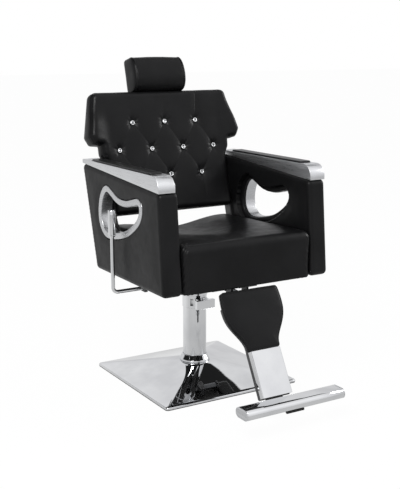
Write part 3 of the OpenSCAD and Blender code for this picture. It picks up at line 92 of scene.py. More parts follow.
def selectRims(piece):
    bpy.ops.mesh.select_all(action="DESELECT")
    shape = bmesh.from_edit_mesh(piece.data)
    for e in shape.edges:
        if e.is_boundary:
            e.select_set(True)
    bmesh.update_edit_mesh(piece.data)


# A skin through rings of points; its two ends are filled, or left open where they are out of sight
def extrudeRings(name, rings, capped=True):
    clearSelection()
    count = len(rings[0])
    bpy.ops.mesh.primitive_circle_add(vertices=count, radius=0.1)
    piece = bpy.context.object
    shape = startShape(name, piece)
    order = shape.verts.layers.int.new("order")
    shape.verts.ensure_lookup_table()
    for k in range(count):
        shape.verts[k][order] = k
        shape.verts[k].co = rings[0][k]
    bmesh.update_edit_mesh(piece.data)
    bpy.ops.mesh.select_all(action="SELECT")
    extendLoop(piece, rings[1:])
    if capped:
        bpy.ops.mesh.edge_face_add()
        selectFirst(piece, count)
        bpy.ops.mesh.edge_face_add()
    facesOutward(piece)
    return piece


def facesOutward(piece):
    if bpy.context.object.mode != "EDIT":
        makeActive(piece)
        bpy.ops.object.mode_set(mode="EDIT")
    bpy.ops.mesh.select_all(action="SELECT")
    bpy.ops.mesh.normals_make_consistent(inside=False)
    bpy.ops.object.mode_set(mode="OBJECT")


def useModifier(piece, kind, **settings):
    makeActive(piece)
    modifier = piece.modifiers.new(kind.lower(), kind)
    for key, value in settings.items():
        setattr(modifier, key, value)
    bpy.ops.object.modifier_apply(modifier=modifier.name)


def smoothShade(piece, angle=40):
    makeActive(piece)
    bpy.ops.object.shade_smooth_by_angle(angle=math.radians(angle))


def cutAway(piece, tool):
    useModifier(piece, "BOOLEAN", operation="DIFFERENCE", object=tool, solver="EXACT")
    bpy.data.objects.remove(tool)


def joined(pieces, name):
    clearSelection()
    for p in pieces:
        p.select_set(True)
    bpy.context.view_layer.objects.active = pieces[0]
    bpy.ops.object.join()
    pieces[0].name = name
    pieces[0].data.name = name
    return pieces[0]


# The lowest and highest corner of a CAD node in metres, to a thousandth of a millimetre
def nodeBox(name):
    corners = [cadNodes[name].matrix_world @ Vector(c) for c in cadNodes[name].bound_box]
    low = [round(min(c[i] for c in corners), 6) for i in range(3)]
    high = [round(max(c[i] for c in corners), 6) for i in range(3)]
    return low, high


# Moves every vertex to where the rule puts it, given its place and its normal
def reshape(piece, rule):
    mesh = piece.data
    places = [v.co.copy() for v in mesh.vertices]
    normals = [v.normal.copy() for v in mesh.vertices]
    moved = [c for p, n in zip(places, normals) for c in rule(p, n)]
    mesh.vertices.foreach_set("co", moved)
    mesh.update()


def finishPiece(piece, body, material, replaced=(), place=None, angle=40):
    if place:
        piece.data.transform(place)
    smoothShade(piece, angle)
    piece.data.materials.clear()
    piece.data.materials.append(material)
    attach(piece, body)
    if replaced:
        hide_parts(*replaced)
    print("made", piece.name)
    return piece


def mirroredCopy(piece, name):
    makeActive(piece)
    bpy.ops.object.duplicate(linked=False)
    other = bpy.context.object
    other.name = name
    other.data.name = name
    other.data.transform(Matrix.Scale(-1, 4, (1, 0, 0)))
    facesOutward(other)
    return other


# ---------- outlines ----------

def unit(x, y):
    size = math.hypot(x, y)
    return x / size, y / size


def circlePoints(radius, count, turn=0.0):
    angles = [2 * math.pi * k / count + turn for k in range(count)]
    return [(radius * math.cos(a), radius * math.sin(a)) for a in angles]


# Half an outline, given from one end to the other, with its mirror image after it
def bothSides(half):
    return half + [(-x, y, r) for x, y, r in reversed(half)]


# Rounds the corners of an outline given as (x, y, radius)
def rounded(points, steps=6):
    loop = []
    count = len(points)
    for i in range(count):
        px, py, r = points[i]
        if r <= 0:
            loop.append((px, py))
            continue
        before, after = points[i - 1], points[(i + 1) % count]
        ax, ay = unit(before[0] - px, before[1] - py)
        bx, by = unit(after[0] - px, after[1] - py)
        half = math.acos(max(-1, min(1, ax * bx + ay * by))) / 2
        mx, my = unit(ax + bx, ay + by)
        cx, cy = px + mx * r / math.sin(half), py + my * r / math.sin(half)
        sx, sy = px + ax * r / math.tan(half) - cx, py + ay * r / math.tan(half) - cy
        sweep = (math.pi - 2 * half) * (-1 if ax * by - ay * bx > 0 else 1)
        for k in range(steps + 1):
            t = sweep * k / steps
            c, s = math.cos(t), math.sin(t)
            loop.append((cx + sx * c - sy * s, cy + sx * s + sy * c))
    return loop


# Moves the straight edges of a convex counter-clockwise outline inwards by d
def pulledIn(points, d):
    loop = []
    count = len(points)
    for i in range(count):
        (x, y), before, after = points[i], points[i - 1], points[(i + 1) % count]
        ax, ay = unit(x - before[0], y - before[1])
        bx, by = unit(after[0] - x, after[1] - y)
        scale = d / (1 + ax * bx + ay * by)
        loop.append((x - (ay + by) * scale, y + (ax + bx) * scale))
    return loop


# Moves a counter-clockwise loop outwards by d
def grown(loop, d):
    made = []
    count = len(loop)
    for i in range(count):
        before, after = loop[i - 1], loop[(i + 1) % count]
        tx, ty = unit(after[0] - before[0], after[1] - before[1])
        made.append((loop[i][0] + d * ty, loop[i][1] - d * tx))
    return made


# Spreads a count of points evenly along a closed outline
def evenly(loop, count):
    lengths = [0]
    for p, q in sidesOf(loop):
        lengths.append(lengths[-1] + math.dist(p, q))
    made = []
    i = 0
    for k in range(count):
        want = lengths[-1] * k / count
        while lengths[i + 1] < want:
            i += 1
        t = (want - lengths[i]) / max(1e-9, lengths[i + 1] - lengths[i])
        p, q = loop[i], loop[(i + 1) % len(loop)]
        made.append((p[0] + (q[0] - p[0]) * t, p[1] + (q[1] - p[1]) * t))
    return made


# A smooth closed curve through the points
def smoothLoop(points, steps):
    made = []
    count = len(points)
    for i in range(count):
        p, q, r, s = (points[(i + k) % count] for k in (-1, 0, 1, 2))
        for k in range(steps):
            t = k / steps
            made.append(tuple(
                0.5 * (2 * q[c] + (r[c] - p[c]) * t + (2 * p[c] - 5 * q[c] + 4 * r[c] - s[c]) * t * t
                       + (3 * q[c] - p[c] - 3 * r[c] + s[c]) * t ** 3)
                for c in (0, 1)
            ))
    return made


# Goes from 0 to 1 with soft ends as t does
def eased(t):
    c = numpy.clip(t, 0, 1)
    return c * c * (3 - 2 * c)


def sidesOf(loop):
    return list(zip(loop, loop[1:] + loop[:1]))


# Distance of many points from the nearest of many segments, and the nearest place on them
def nearestOn(points, segments):
    best = numpy.full(len(points), 1e9)
    place = numpy.zeros((len(points), 2))
    for (ax, ay), (bx, by) in segments:
        dx, dy = bx - ax, by - ay
        along = (points[:, 0] - ax) * dx + (points[:, 1] - ay) * dy
        t = numpy.clip(along / max(dx * dx + dy * dy, 1e-12), 0, 1)
        at = numpy.stack((ax + dx * t, ay + dy * t), 1)
        d = numpy.hypot(*(points - at).T)
        nearer = d < best
        best[nearer] = d[nearer]
        place[nearer] = at[nearer]
    return best, place


# Fall of a rounded edge of radius r at a distance d from it
def edgeFall(d, r):
    inside = numpy.clip(r - d, 0, r)
    return r - numpy.sqrt(numpy.maximum(0, r * r - inside * inside))


# The back and the leg rest are made upright at their pivots and then leant to their rest angles
def leant(pivot, degrees):
    return Matrix.Translation(pivot) @ Matrix.Rotation(math.radians(-degrees), 4, "X")


placeBack = leant((0, 0.098, 0.352), 15)
placeLeg = leant((0, -0.300, 0.337), 28.4)


# ---------- materials ----------

def linear(code):
    def channel(k):
        value = int(code[k:k + 2], 16) / 255
        return value / 12.92 if value <= 0.04045 else ((value + 0.055) / 1.055) ** 2.4
    return channel(1), channel(3), channel(5), 1.0


def addNode(tree, kind, inputs=None, **settings):
    node = tree.nodes.new("ShaderNode" + kind)
    for key, value in settings.items():
        setattr(node, key, value)
    for key, value in (inputs or {}).items():
        if isinstance(value, bpy.types.NodeSocket):
            tree.links.new(value, node.inputs[key])
        else:
            node.inputs[key].default_value = value
    return node


# Turns a material or the world to nodes and empties its tree
def emptyTree(holder):
    holder.use_nodes = True
    holder.node_tree.nodes.clear()
    return holder.node_tree


def startMaterial(name, constants):
    material = bpy.data.materials.new(name)
    tree = emptyTree(material)
    shader = addNode(tree, "BsdfPrincipled", constants)
    addNode(tree, "OutputMaterial", {"Surface": shader.outputs[0]})
    place = addNode(tree, "TexCoord").outputs["Object"]
    return material, tree, shader, place


def link(tree, source, shader, key):
    tree.links.new(source, shader.inputs[key])


def stretched(tree, place, x, y, z):
    return addNode(tree, "VectorMath", {0: place, 1: (x, y, z)}, operation="MULTIPLY").outputs[0]


def noiseValue(tree, place, scale, detail=3.0, roughness=0.55):
    return addNode(tree, "TexNoise", {
        "Vector": place, "Scale": scale, "Detail": detail, "Roughness": roughness
    }).outputs[0]


# Spreads a value from one range over another; a noise keeps mostly between 0.3 and 0.7
def mapped(tree, value, low, high, fromLow=0.3, fromHigh=0.7):
    return addNode(tree, "MapRange", {
        "Value": value, "From Min": fromLow, "From Max": fromHigh, "To Min": low, "To Max": high
    }).outputs[0]


def mixedColor(tree, value, low, high, start=0.35, end=0.65):
    node = addNode(tree, "ValToRGB", {"Fac": value})
    stops = zip(node.color_ramp.elements, (start, end), (low, high))
    for stop, position, code in stops:
        stop.position = position
        stop.color = linear(code)
    return node.outputs[0]


# Two colours, given as outputs or as values, mixed by a factor
def mixedPair(tree, factor, first, second):
    mix = addNode(tree, "Mix", data_type="RGBA")
    sockets = [s for s in mix.inputs if s.enabled]
    for socket, value in zip(sockets, (factor, first, second)):
        if isinstance(value, bpy.types.NodeSocket):
            tree.links.new(value, socket)
        else:
            socket.default_value = value
    return [s for s in mix.outputs if s.enabled][0]


def bumped(tree, height, strength, distance, under=None):
    inputs = {"Height": height, "Strength": strength, "Distance": distance}
    if under:
        inputs["Normal"] = under
    return addNode(tree, "Bump", inputs).outputs[0]


# Black PVC-coated upholstery fabric: a fine pebble grain with a soft satin face.
# The real grain is 0.7 mm; it is drawn at 1.6 mm, the finest that shows at this size.
def makeLeather(name, dark, light, rough):
    material, tree, shader, place = startMaterial(name, {"Specular IOR Level": 0.17})
    broad = noiseValue(tree, place, 6.0, 3.0)
    link(tree, mixedColor(tree, broad, dark, light), shader, "Base Color")
    rub = noiseValue(tree, place, 34.0, 4.0)
    link(tree, mapped(tree, rub, rough - 0.05, rough + 0.06), shader, "Roughness")
    cells = addNode(tree, "TexVoronoi", {"Vector": place, "Scale": 620.0}, feature="SMOOTH_F1").outputs[0]
    pores = noiseValue(tree, place, 420.0, 2.0)
    folds = noiseValue(tree, place, 17.0, 2.0)
    normal = bumped(tree, folds, 0.35, 0.0022)
    normal = bumped(tree, pores, 0.25, 0.0004, normal)
    normal = bumped(tree, cells, 0.35, 0.0003, normal)
    link(tree, normal, shader, "Normal")
    return material


# Chromium plate on pressed or drawn steel: mirror bright, faintly wavy, with light wiping marks.
# On machined parts the edges are broken, and the recesses get painted shade: the colour turns near black
# where ambient occlusion finds them closed in.
def makeChrome(name, code="#dcdddf", rough=0.018, wave=0.0, edge=0.0):
    material, tree, shader, place = startMaterial(name, {"Metallic": 1.0})
    smear = noiseValue(tree, place, 9.0, 4.0)
    color = mixedColor(tree, smear, code, "#e8e9ea")
    under = None
    if edge:
        # Painted shade: the colour darkens to near black in recesses found by ambient occlusion
        clear = addNode(tree, "AmbientOcclusion", {"Distance": 0.009}, samples=8).outputs["AO"]
        paintedRecessShade = mapped(tree, clear, 1.0, 0.0)
        color = mixedPair(tree, paintedRecessShade, color, linear("#0b0b0c"))
        under = addNode(tree, "Bevel", {"Radius": edge}, samples=6).outputs[0]
    link(tree, color, shader, "Base Color")
    wipe = noiseValue(tree, stretched(tree, place, 60, 60, 420), 1.0, 3.0)
    link(tree, mapped(tree, wipe, rough, rough * 2.4), shader, "Roughness")
    broad = noiseValue(tree, place, 7.0, 1.0)
    normal = bumped(tree, broad, 0.2, 0.0004 + wave, under)
    normal = bumped(tree, wipe, 0.05, 0.00005, normal)
    link(tree, normal, shader, "Normal")
    return material


# Brushed aluminium: fine lines along its length that spread the highlight across them
def makeBrushed(name, lines, codes, rough=0.3):
    material, tree, shader, place = startMaterial(name, {"Metallic": 1.0, "Anisotropic": 0.5})
    brush = noiseValue(tree, stretched(tree, place, *lines), 1.0, 4.0, 0.7)
    link(tree, mixedColor(tree, brush, *codes, 0.25, 0.75), shader, "Base Color")
    link(tree, mapped(tree, brush, rough - 0.06, rough + 0.1), shader, "Roughness")
    link(tree, bumped(tree, brush, 0.22, 0.00012), shader, "Normal")
    return material


# Black powder coat on steel: even, with a slight orange peel, rubbed greyer on its edges
def makePaint(name, code="#161617", rough=0.42):
    material, tree, shader, place = startMaterial(name, {"Specular IOR Level": 0.5})
    edge = addNode(tree, "NewGeometry").outputs["Pointiness"]
    link(tree, mixedColor(tree, edge, code, "#3a3a3b", 0.53, 0.62), shader, "Base Color")
    peel = noiseValue(tree, place, 320.0, 2.0)
    link(tree, mapped(tree, peel, rough - 0.04, rough + 0.08), shader, "Roughness")
    link(tree, bumped(tree, peel, 0.2, 0.0003), shader, "Normal")
    return material


# Bare or plated metal with machining marks and faint stains
def makeMetal(name, dark, light, rough, lines=(300, 300, 300)):
    material, tree, shader, place = startMaterial(name, {"Metallic": 1.0})
    marks = noiseValue(tree, stretched(tree, place, *lines), 1.0, 3.0, 0.6)
    stain = noiseValue(tree, place, 40.0, 4.0)
    link(tree, mixedColor(tree, stain, dark, light), shader, "Base Color")
    link(tree, mapped(tree, marks, rough - 0.07, rough + 0.1), shader, "Roughness")
    link(tree, bumped(tree, marks, 0.2, 0.0001), shader, "Normal")
    return material


# Moulded rubber or plastic with a fine spark-eroded texture
def makeMoulded(name, dark, light, rough, grain=500.0):
    material, tree, shader, place = startMaterial(name, {"Specular IOR Level": 0.45})
    broad = noiseValue(tree, place, 25.0, 3.0)
    link(tree, mixedColor(tree, broad, dark, light), shader, "Base Color")
    fine = noiseValue(tree, place, grain, 2.0)
    link(tree, mapped(tree, fine, rough - 0.05, rough + 0.08), shader, "Roughness")
    link(tree, bumped(tree, fine, 0.25, 0.0002), shader, "Normal")
    return material


# Birch plywood: thin veneers in layers, with grain along the board
def makePlywood(name, faceColors, edgeColors):
    material, tree, shader, place = startMaterial(name, {"Roughness": 0.62})
    grain = noiseValue(tree, stretched(tree, place, 60, 9, 60), 1.0, 5.0, 0.6)
    layers = addNode(tree, "TexWave", {
        "Vector": place, "Scale": 110.0, "Distortion": 0.4
    }, wave_type="BANDS", bands_direction="Z").outputs["Fac"]
    face = mixedColor(tree, grain, *faceColors, 0.2, 0.8)
    edge = mixedColor(tree, layers, *edgeColors, 0.3, 0.7)
    link(tree, mixedPair(tree, 0.35, face, edge), shader, "Base Color")
    link(tree, bumped(tree, grain, 0.2, 0.0003), shader, "Normal")
    return material


# Foil-backed cut glass: bright facets round a dark centre, drawn as painted glints, bright and dark spots by
# noise in the colour that stand in for the facets' reflections
def makeStone():
    material, tree, shader, place = startMaterial("foilGlass", {
        "Metallic": 1.0, "Coat Weight": 1.0, "Coat Roughness": 0.02, "Coat IOR": 1.6
    })
    paintedGlint = noiseValue(tree, place, 260.0, 1.0)
    # Painted glints: the colour flips between dark and near white by noise, in place of reflections from the
    # facets
    link(tree, mixedColor(tree, paintedGlint, "#24262a", "#f6f7f9", 0.42, 0.52), shader, "Base Color")
    link(tree, mapped(tree, paintedGlint, 0.02, 0.08), shader, "Roughness")
    return material


blackLeather = makeLeather("blackVinylLeather", "#0c0c0d", "#131314", 0.36)
armPadPlastic = makeMoulded("armPadUrethane", "#0d0d0e", "#141415", 0.34, 420.0)
chrome = makeChrome("polishedChrome")
machinedChrome = makeChrome("machinedPartChrome", edge=0.0009)
cupChrome = makeChrome("buttonCupChrome", "#f0f1f2", 0.1, edge=0.0006)
pressedChrome = makeChrome("pressedSteelChrome", "#d6d7d9", 0.004, 0.0001)
brushedCap = makeBrushed("brushedAluminiumCap", (700, 14, 700), ("#c9cacc", "#ebecee"))
brushedTrim = makeBrushed("brushedAluminiumTrim", (14, 60, 700), ("#bfc0c2", "#d6d7d9"), 0.26)
blackPaint = makePaint("blackPowderCoat")
zinc = makeMetal("zincPlatedSteel", "#a3a5a6", "#c4c6c8", 0.36)
steel = makeMetal("oiledDarkSteel", "#4b4c4e", "#6c6d6f", 0.3, (60, 60, 900))
hardChrome = makeMetal("groundHardChrome", "#cfd0d2", "#e2e3e4", 0.14, (90, 90, 700))
alloy = makeMetal("castAlloy", "#9fa0a2", "#bcbdbf", 0.42, (200, 200, 200))
bronze = makeMetal("bearingBronze", "#8a5f2c", "#b5853f", 0.33, (90, 90, 700))
rubber = makeMoulded("mouldedRubber", "#121212", "#1a1a1a", 0.62, 380.0)
nylon = makeMoulded("naturalNylon", "#d6d2c4", "#e6e3d8", 0.44)
blackNylon = makeMoulded("blackNylon", "#131313", "#1c1c1c", 0.45)
plywood = makePlywood("birchPlywood", ("#b48a58", "#d9b98a"), ("#8d6238", "#cfa974"))
# The seat board is stained black, as its underside is the part that can be seen
stainedBoard = makePlywood("blackStainedPlywood", ("#0e0d0d", "#191817"), ("#0b0a0a", "#1c1a19"))
foilGlass = makeStone()
slotMaterials = {
    "chrome": machinedChrome, "hard_chrome": hardChrome, "brushed_cap": brushedCap,
    "black_leather": blackLeather, "arm_pad": armPadPlastic, "black_paint": blackPaint, "zinc": zinc,
    "steel": steel, "bronze": bronze, "rubber": rubber, "nylon": nylon, "black_nylon": blackNylon,
    "plywood": plywood, "stone": foilGlass, "piston_alloy": alloy, "black_board": stainedBoard,
}
print("materials made")


# Points round a rectangle with round corners, from the right-hand side of its rear
def roundedPlan(half, front, rear, radius, side, steps=12):
    r = radius
    centres = ((half - r, rear - r), (r - half, rear - r), (r - half, front + r), (half - r, front + r))

    def cornerPoint(q, turn):
        a = math.radians(90 * turn)
        x, y = centres[q % 4]
        return x + r * math.cos(a), y + r * math.sin(a)

    ring = []
    for q in range(4):
        ring += [cornerPoint(q, q + k / steps) for k in range(steps + 1)]
        (ax, ay), (bx, by) = ring[-1], cornerPoint(q + 1, q + 1)
        ring += [(ax + (bx - ax) * k / side, ay + (by - ay) * k / side) for k in range(1, side)]
    return ring


# ---------- base cover and collar ----------

_, coverHigh = nodeBox("base_cover")
cover = {
    "half": coverHigh[0], "low": 0.0026, "top": coverHigh[2], "corner": 0.010, "neck": 0.046, "skin": 0.0018,
    "rim": 0.010, "rimInset": 0.003, "blend": 3,
    # how far in and how high the rim's rounded edge runs
    "rimProfile": ((0, 0.0026), (0, 0.0066), (0.0005, 0.0082), (0.0014, 0.0093)),
}


def makeBaseCover():
    c = cover

    def squareRing(half, radius, z):
        return [Vector((x, y, z)) for x, y in roundedPlan(half, -half, half, radius, 14)]

    rings = [squareRing(c["half"] - inset, c["corner"], z) for inset, z in c["rimProfile"]]
    edge = c["half"] - c["rimInset"]
    steps = 46
    for k in range(steps + 1):
        t = (k / steps) ** 0.85
        half = edge - (edge - c["neck"]) * t
        radius = min(half, c["corner"] + (c["neck"] - c["corner"]) * t ** c["blend"])
        rings.append(squareRing(half, radius, c["rim"] + (c["top"] - c["rim"]) * t))

    def inside(p):
        shrink = 1 - c["skin"] / max(abs(p.x), abs(p.y), 0.02)
        return Vector((p.x * shrink, p.y * shrink, max(c["low"], p.z - c["skin"])))

    # the inner wall has every second ring of the outer one
    inner = [[inside(p) for p in ring] for ring in reversed(rings)]
    piece = extrudeRings("baseCoverShell", rings + inner[:-3:2] + [inner[-1]], capped=False)
    finishPiece(piece, "base", pressedChrome, ["base_cover"], angle=50)


# A turned ring with a straight rim and a cone that rises to the column
def makeCollarRing():
    (_, _, low), (outer, _, high) = nodeBox("collar_ring")
    bore = 0.0384
    profile = [
        (bore, low), (outer - 0.0010, low), (outer - 0.0003, low + 0.0003), (outer, low + 0.0010),
        (outer, low + 0.0056), (outer - 0.0006, low + 0.0068), (outer - 0.0018, low + 0.0079),
        (bore + 0.0040, high - 0.0016), (bore + 0.0030, high - 0.0006), (bore + 0.0018, high),
        (bore + 0.0004, high), (bore, high - 0.0004),
    ]
    rings = [[Vector((x, y, z)) for x, y in circlePoints(r, 96)] for r, z in profile]
    piece = extrudeRings("collarRingBody", rings, capped=False)
    finishPiece(piece, "base", chrome, ["collar_ring"], angle=30)


makeBaseCover()
makeCollarRing()


# ---------- seat cushion ----------

seatLow, seatHigh = nodeBox("seat_cushion")
seat = {
    "half": seatHigh[0], "front": -seatLow[1], "rear": 0.127, "slope": 93 / 330, "board": seatLow[2],
    "low": 0.3702, "top": 0.515, "fall": 0.015, "scoop": 0.030,
    "frontRound": 0.026, "sideRound": 0.015, "corner": 0.020,
}


def seatTop(x, y):
    s = seat
    span = s["front"] + s["rear"]
    base = s["top"] - s["fall"] * (y + s["front"]) / span
    rho = math.hypot(x / (s["half"] * 0.9), (y - s["rear"] * 0.5) / (span * 0.66))
    return base - s["scoop"] * (0.5 + 0.5 * math.cos(math.pi * rho) if rho < 1 else 0)


# A ring at one height, or with a drop one that lies that far under the top
def seatRing(inX, inY, z, drop=None, shrink=1.0):
    s = seat
    rear = s["rear"] + s["slope"] * (z - s["board"]) - inY * 0.6
    radius = max(0.002, s["corner"] - inX * 0.6)
    middle = s["rear"] * 0.6 - s["front"] * 0.44
    ring = []
    for x, y in roundedPlan(s["half"] - inX, inY - s["front"], rear, radius, 56):
        x, y = x * shrink, middle + (y - middle) * shrink
        ring.append(Vector((x, y, z if drop is None else seatTop(x, y) - drop)))
    return ring


def makeSeatCushion():
    s = seat
    shoulder = s["top"] - s["frontRound"]
    foot = ((0.020, 0.0006), (0.006, 0), (0.002, 0.0015), (0.0005, 0.005))
    rings = [seatRing(inset, inset, s["low"] + rise) for inset, rise in foot]
    for t in [k / 22 for k in range(1, 22)]:
        inset = 0.0005 + 0.0012 * math.sin(math.pi * t)
        rings.append(seatRing(inset, inset * 1.2, s["low"] + 0.005 + (shoulder - 0.019 - s["low"]) * t))
    for a in [math.radians(6 * k) for k in range(16)]:
        c, n = 1 - math.cos(a), 1 - math.sin(a)
        rings.append(seatRing(s["sideRound"] * c, s["frontRound"] * c, shoulder, s["frontRound"] * n))
    for k in range(1, 52):
        rings.append(seatRing(s["sideRound"], s["frontRound"], shoulder, 0, 1 - k / 52))
    piece = extrudeRings("seatCushionCover", rings)

    # Slack leather on top, drag lines near the edges and small pulls at the two front corners
    def creased(p, normal):
        edge = max(abs(p.x) / s["half"], abs(p.y + 0.1) / 0.224)
        near = max(0, min(1, (edge - 0.8) / 0.2))
        up = max(0, normal.z)
        soft = noise.noise(Vector((p.x * 9, p.y * 9, p.z * 9))) * 0.0016 * up
        drag = noise.noise(Vector((p.x * 34, p.y * 34, p.z * 60))) * 0.0007 * near
        corner = math.exp(-((abs(p.x) - 0.205) / 0.03) ** 2 - ((p.y + 0.305) / 0.035) ** 2)
        pull = math.sin((abs(p.x) + p.y) * 420 + p.z * 260) * 0.0009 * corner
        return p + normal * (soft * (p.z > 0.40) - abs(drag) * 0.8 + pull)

    reshape(piece, creased)
    finishPiece(piece, "seat", blackLeather, ["seat_cushion"], angle=60)


makeSeatCushion()


# ---------- arms ----------

armLow, armHigh = nodeBox("arm_left")
arm = {
    "inner": armLow[0], "outer": armHigh[0], "edge": 0.013, "voxel": 0.0036, "swell": 0.0014,
    "outline": [(-0.322, 0.370), (0.127, 0.370), (0.220, 0.700), (-0.295, 0.665)],
    "holeAt": (-0.047, 0.566), "wall": 0.002, "rim": 0.019, "rimThick": 0.003, "sleeve": 0.038,
}
# The kidney-shaped hole, in millimetres to the rear and up from its middle
holeShape = [
    (90, 62), (58, 53), (28, 40), (-6, 33), (-50, 34), (-92, 44), (-120, 49), (-128, 36),
    (-116, 10), (-84, -15), (-38, -39), (26, -56), (88, -62), (120, -40), (128, -4), (116, 38),
]
holeLoop = smoothLoop([(arm["holeAt"][0] + y / 1000, arm["holeAt"][1] + z / 1000) for y, z in holeShape], 8)
armEdges = sidesOf(arm["outline"])


def armRing(x, d):
    points = [(y, z, arm["edge"] + 0.003 - d * 0.8) for y, z in pulledIn(arm["outline"], d)]
    return [Vector((x, y, z)) for y, z in rounded(points, 8)]


def makeArmBlock():
    a = arm
    insets = [a["edge"] * (1 - math.sin(math.radians(90 * k / 8))) for k in range(9)]
    rings = [armRing(a["inner"] + d, d) for d in insets]
    rings += [armRing(a["outer"] - d, d) for d in reversed(insets)]
    return extrudeRings("armLeftCover", rings)


def makeHoleTool():
    loop = evenly(grown(holeLoop, arm["wall"]), 120)
    return extrudeRings("holeTool", [[Vector((x, y, z)) for y, z in loop] for x in (0.20, 0.32)])


# Puts the remeshed vertices back on the arm's flat faces and rounded edges
def trueEdges(piece):
    a = arm
    r = a["edge"]
    core = rounded([(y, z, 0.003) for y, z in pulledIn(a["outline"], r)], 6)
    middle, flat = (a["inner"] + a["outer"]) / 2, (a["outer"] - a["inner"]) / 2 - r
    places = numpy.array([tuple(v.co) for v in piece.data.vertices])
    fromEdge, _ = nearestOn(places[:, 1:], armEdges)
    fromCore, nearest = nearestOn(places[:, 1:], sidesOf(core))
    fromTunnel, _ = nearestOn(places[:, 1:], sidesOf(grown(holeLoop, a["wall"])))
    out = numpy.where(fromEdge < r, fromCore, 0)
    across = numpy.abs(places[:, 0] - middle) - flat
    sign = numpy.sign(places[:, 0] - middle)
    for k, v in enumerate(piece.data.vertices):
        u, w = out[k], across[k]
        if w > 0 and (u > 0 or fromTunnel[k] > 0.004 or w > r * 0.8):
            scale = r / math.hypot(u, w)
        elif u > 0:
            scale = r / u
        else:
            continue
        x = middle + sign[k] * (flat + w * scale) if w > 0 else places[k, 0]
        y, z = (nearest[k] + (places[k, 1:] - nearest[k]) * scale) if u > 0 else places[k, 1:]
        v.co = (x, y, z)


def makeArms():
    a = arm
    piece = makeArmBlock()
    cutAway(piece, makeHoleTool())
    useModifier(piece, "REMESH", mode="VOXEL", voxel_size=a["voxel"])
    useModifier(piece, "SMOOTH", factor=0.5, iterations=8)
    trueEdges(piece)
    at = numpy.array([(v.co.y, v.co.z) for v in piece.data.vertices])
    fromEdge, _ = nearestOn(at, armEdges)
    fromHole, _ = nearestOn(at, sidesOf(grown(holeLoop, a["rim"])))
    order = iter(range(len(at)))
    middle, half = (a["inner"] + a["outer"]) / 2, (a["outer"] - a["inner"]) / 2

    # The two faces swell a little between their edges and the hole's trim
    def swollen(p, normal):
        k = next(order)
        away = float(eased((fromEdge[k] - 0.012) / 0.05) * eased(fromHole[k] / 0.03))
        side = (p.x - middle) / half
        onFace = max(0.0, (abs(side) - 0.96) / 0.04)
        soft = noise.noise(Vector((p.y * 8, p.z * 8, p.x * 20))) * 0.0009
        return p + Vector((math.copysign((a["swell"] + soft) * away * onFace, side), 0, 0))

    reshape(piece, swollen)
    other = mirroredCopy(piece, "armRightCover")
    for p, node in ((piece, "arm_left"), (other, "arm_right")):
        finishPiece(p, "seat", blackLeather, [node], angle=60)


# Brushed trims that line the hand holes, with a flange on the arm's outer face
def makeTrims():
    a = arm
    face, flange = a["outer"] + 0.0004, a["rim"]
    under, foot, bore = face - a["rimThick"], face - a["sleeve"], a["wall"] - 0.0003
    # how far outside the hole's edge, and where across the arm
    section = [
        (flange, under), (flange, face - 0.0010), (flange - 0.0004, face - 0.0003),
        (flange - 0.0012, face), (flange * 0.5, face + 0.0002), (0.0024, face), (0.0010, face - 0.0003),
        (0.0002, face - 0.0012), (0, face - 0.0030), (0, face - a["sleeve"] * 0.5), (0, foot),
        (bore, foot), (bore, under - 0.0002), (flange - 0.001, under),
    ]
    rings = [[Vector((x, y, z)) for y, z in grown(holeLoop, d)] for d, x in section]
    piece = extrudeRings("holeTrimLeft", rings, capped=False)
    other = mirroredCopy(piece, "holeTrimRight")
    for p, node in ((piece, "hole_trim_left"), (other, "hole_trim_right")):
        finishPiece(p, "seat", brushedTrim, [node], angle=50)


makeArms()
makeTrims()


# ---------- arm caps and pads ----------

capLow, capHigh = nodeBox("arm_cap_left")
padLow, padHigh = nodeBox("arm_pads")
cap = {
    "inner": capLow[0], "outer": capHigh[0], "front": capLow[1], "rear": capHigh[1], "top": capHigh[2],
    "round": 0.038, "edge": 0.0010,
}
pad = {
    "middle": 0.263, "half": 0.019, "front": padLow[1], "rear": padHigh[1],
    "sunk": 0.003, "proud": 0.005, "room": 0.0045,
}


# Height of the arm's slanted top under the cap
def armTop(y):
    (fy, fz), (ry, rz) = arm["outline"][3], arm["outline"][2]
    return fz + (rz - fz) * (y - fy) / (ry - fy)


# A block with rounded edges that leaves the pad's pocket in the cap
def makePocketTool():
    wide = pad["half"] + pad["room"]
    low = Vector((pad["middle"] - wide, pad["front"] - 0.003, cap["top"] - pad["sunk"]))
    high = Vector((pad["middle"] + wide, pad["rear"] + pad["room"], cap["top"] + 0.01))
    clearSelection()
    bpy.ops.mesh.primitive_cube_add(size=1, location=(low + high) / 2, scale=high - low)
    tool = bpy.context.object
    bpy.ops.object.transform_apply(location=True, rotation=True, scale=True)
    bpy.ops.object.mode_set(mode="EDIT")
    bpy.ops.mesh.select_all(action="SELECT")
    bpy.ops.mesh.bevel(offset=0.002, segments=3, affect="EDGES")
    bpy.ops.object.mode_set(mode="OBJECT")
    return tool


def makeCaps():
    c = cap
    profile = rounded([
        (c["front"], armTop(c["front"]), 0), (c["rear"], armTop(c["rear"]), 0),
        (c["rear"], c["top"], 0.003), (c["front"], c["top"], c["round"]),
    ], 16)
    rings = [[Vector((x, y, z)) for y, z in profile] for x in (c["inner"], c["outer"])]
    piece = extrudeRings("armCapLeft", rings)
    cutAway(piece, makePocketTool())
    useModifier(
        piece, "BEVEL", width=c["edge"], segments=3, limit_method="ANGLE",
        angle_limit=math.radians(50), harden_normals=False,
    )
    other = mirroredCopy(piece, "armCapRight")
    for p, node in ((piece, "arm_cap_left"), (other, "arm_cap_right")):
        finishPiece(p, "seat", brushedCap, [node], angle=35)


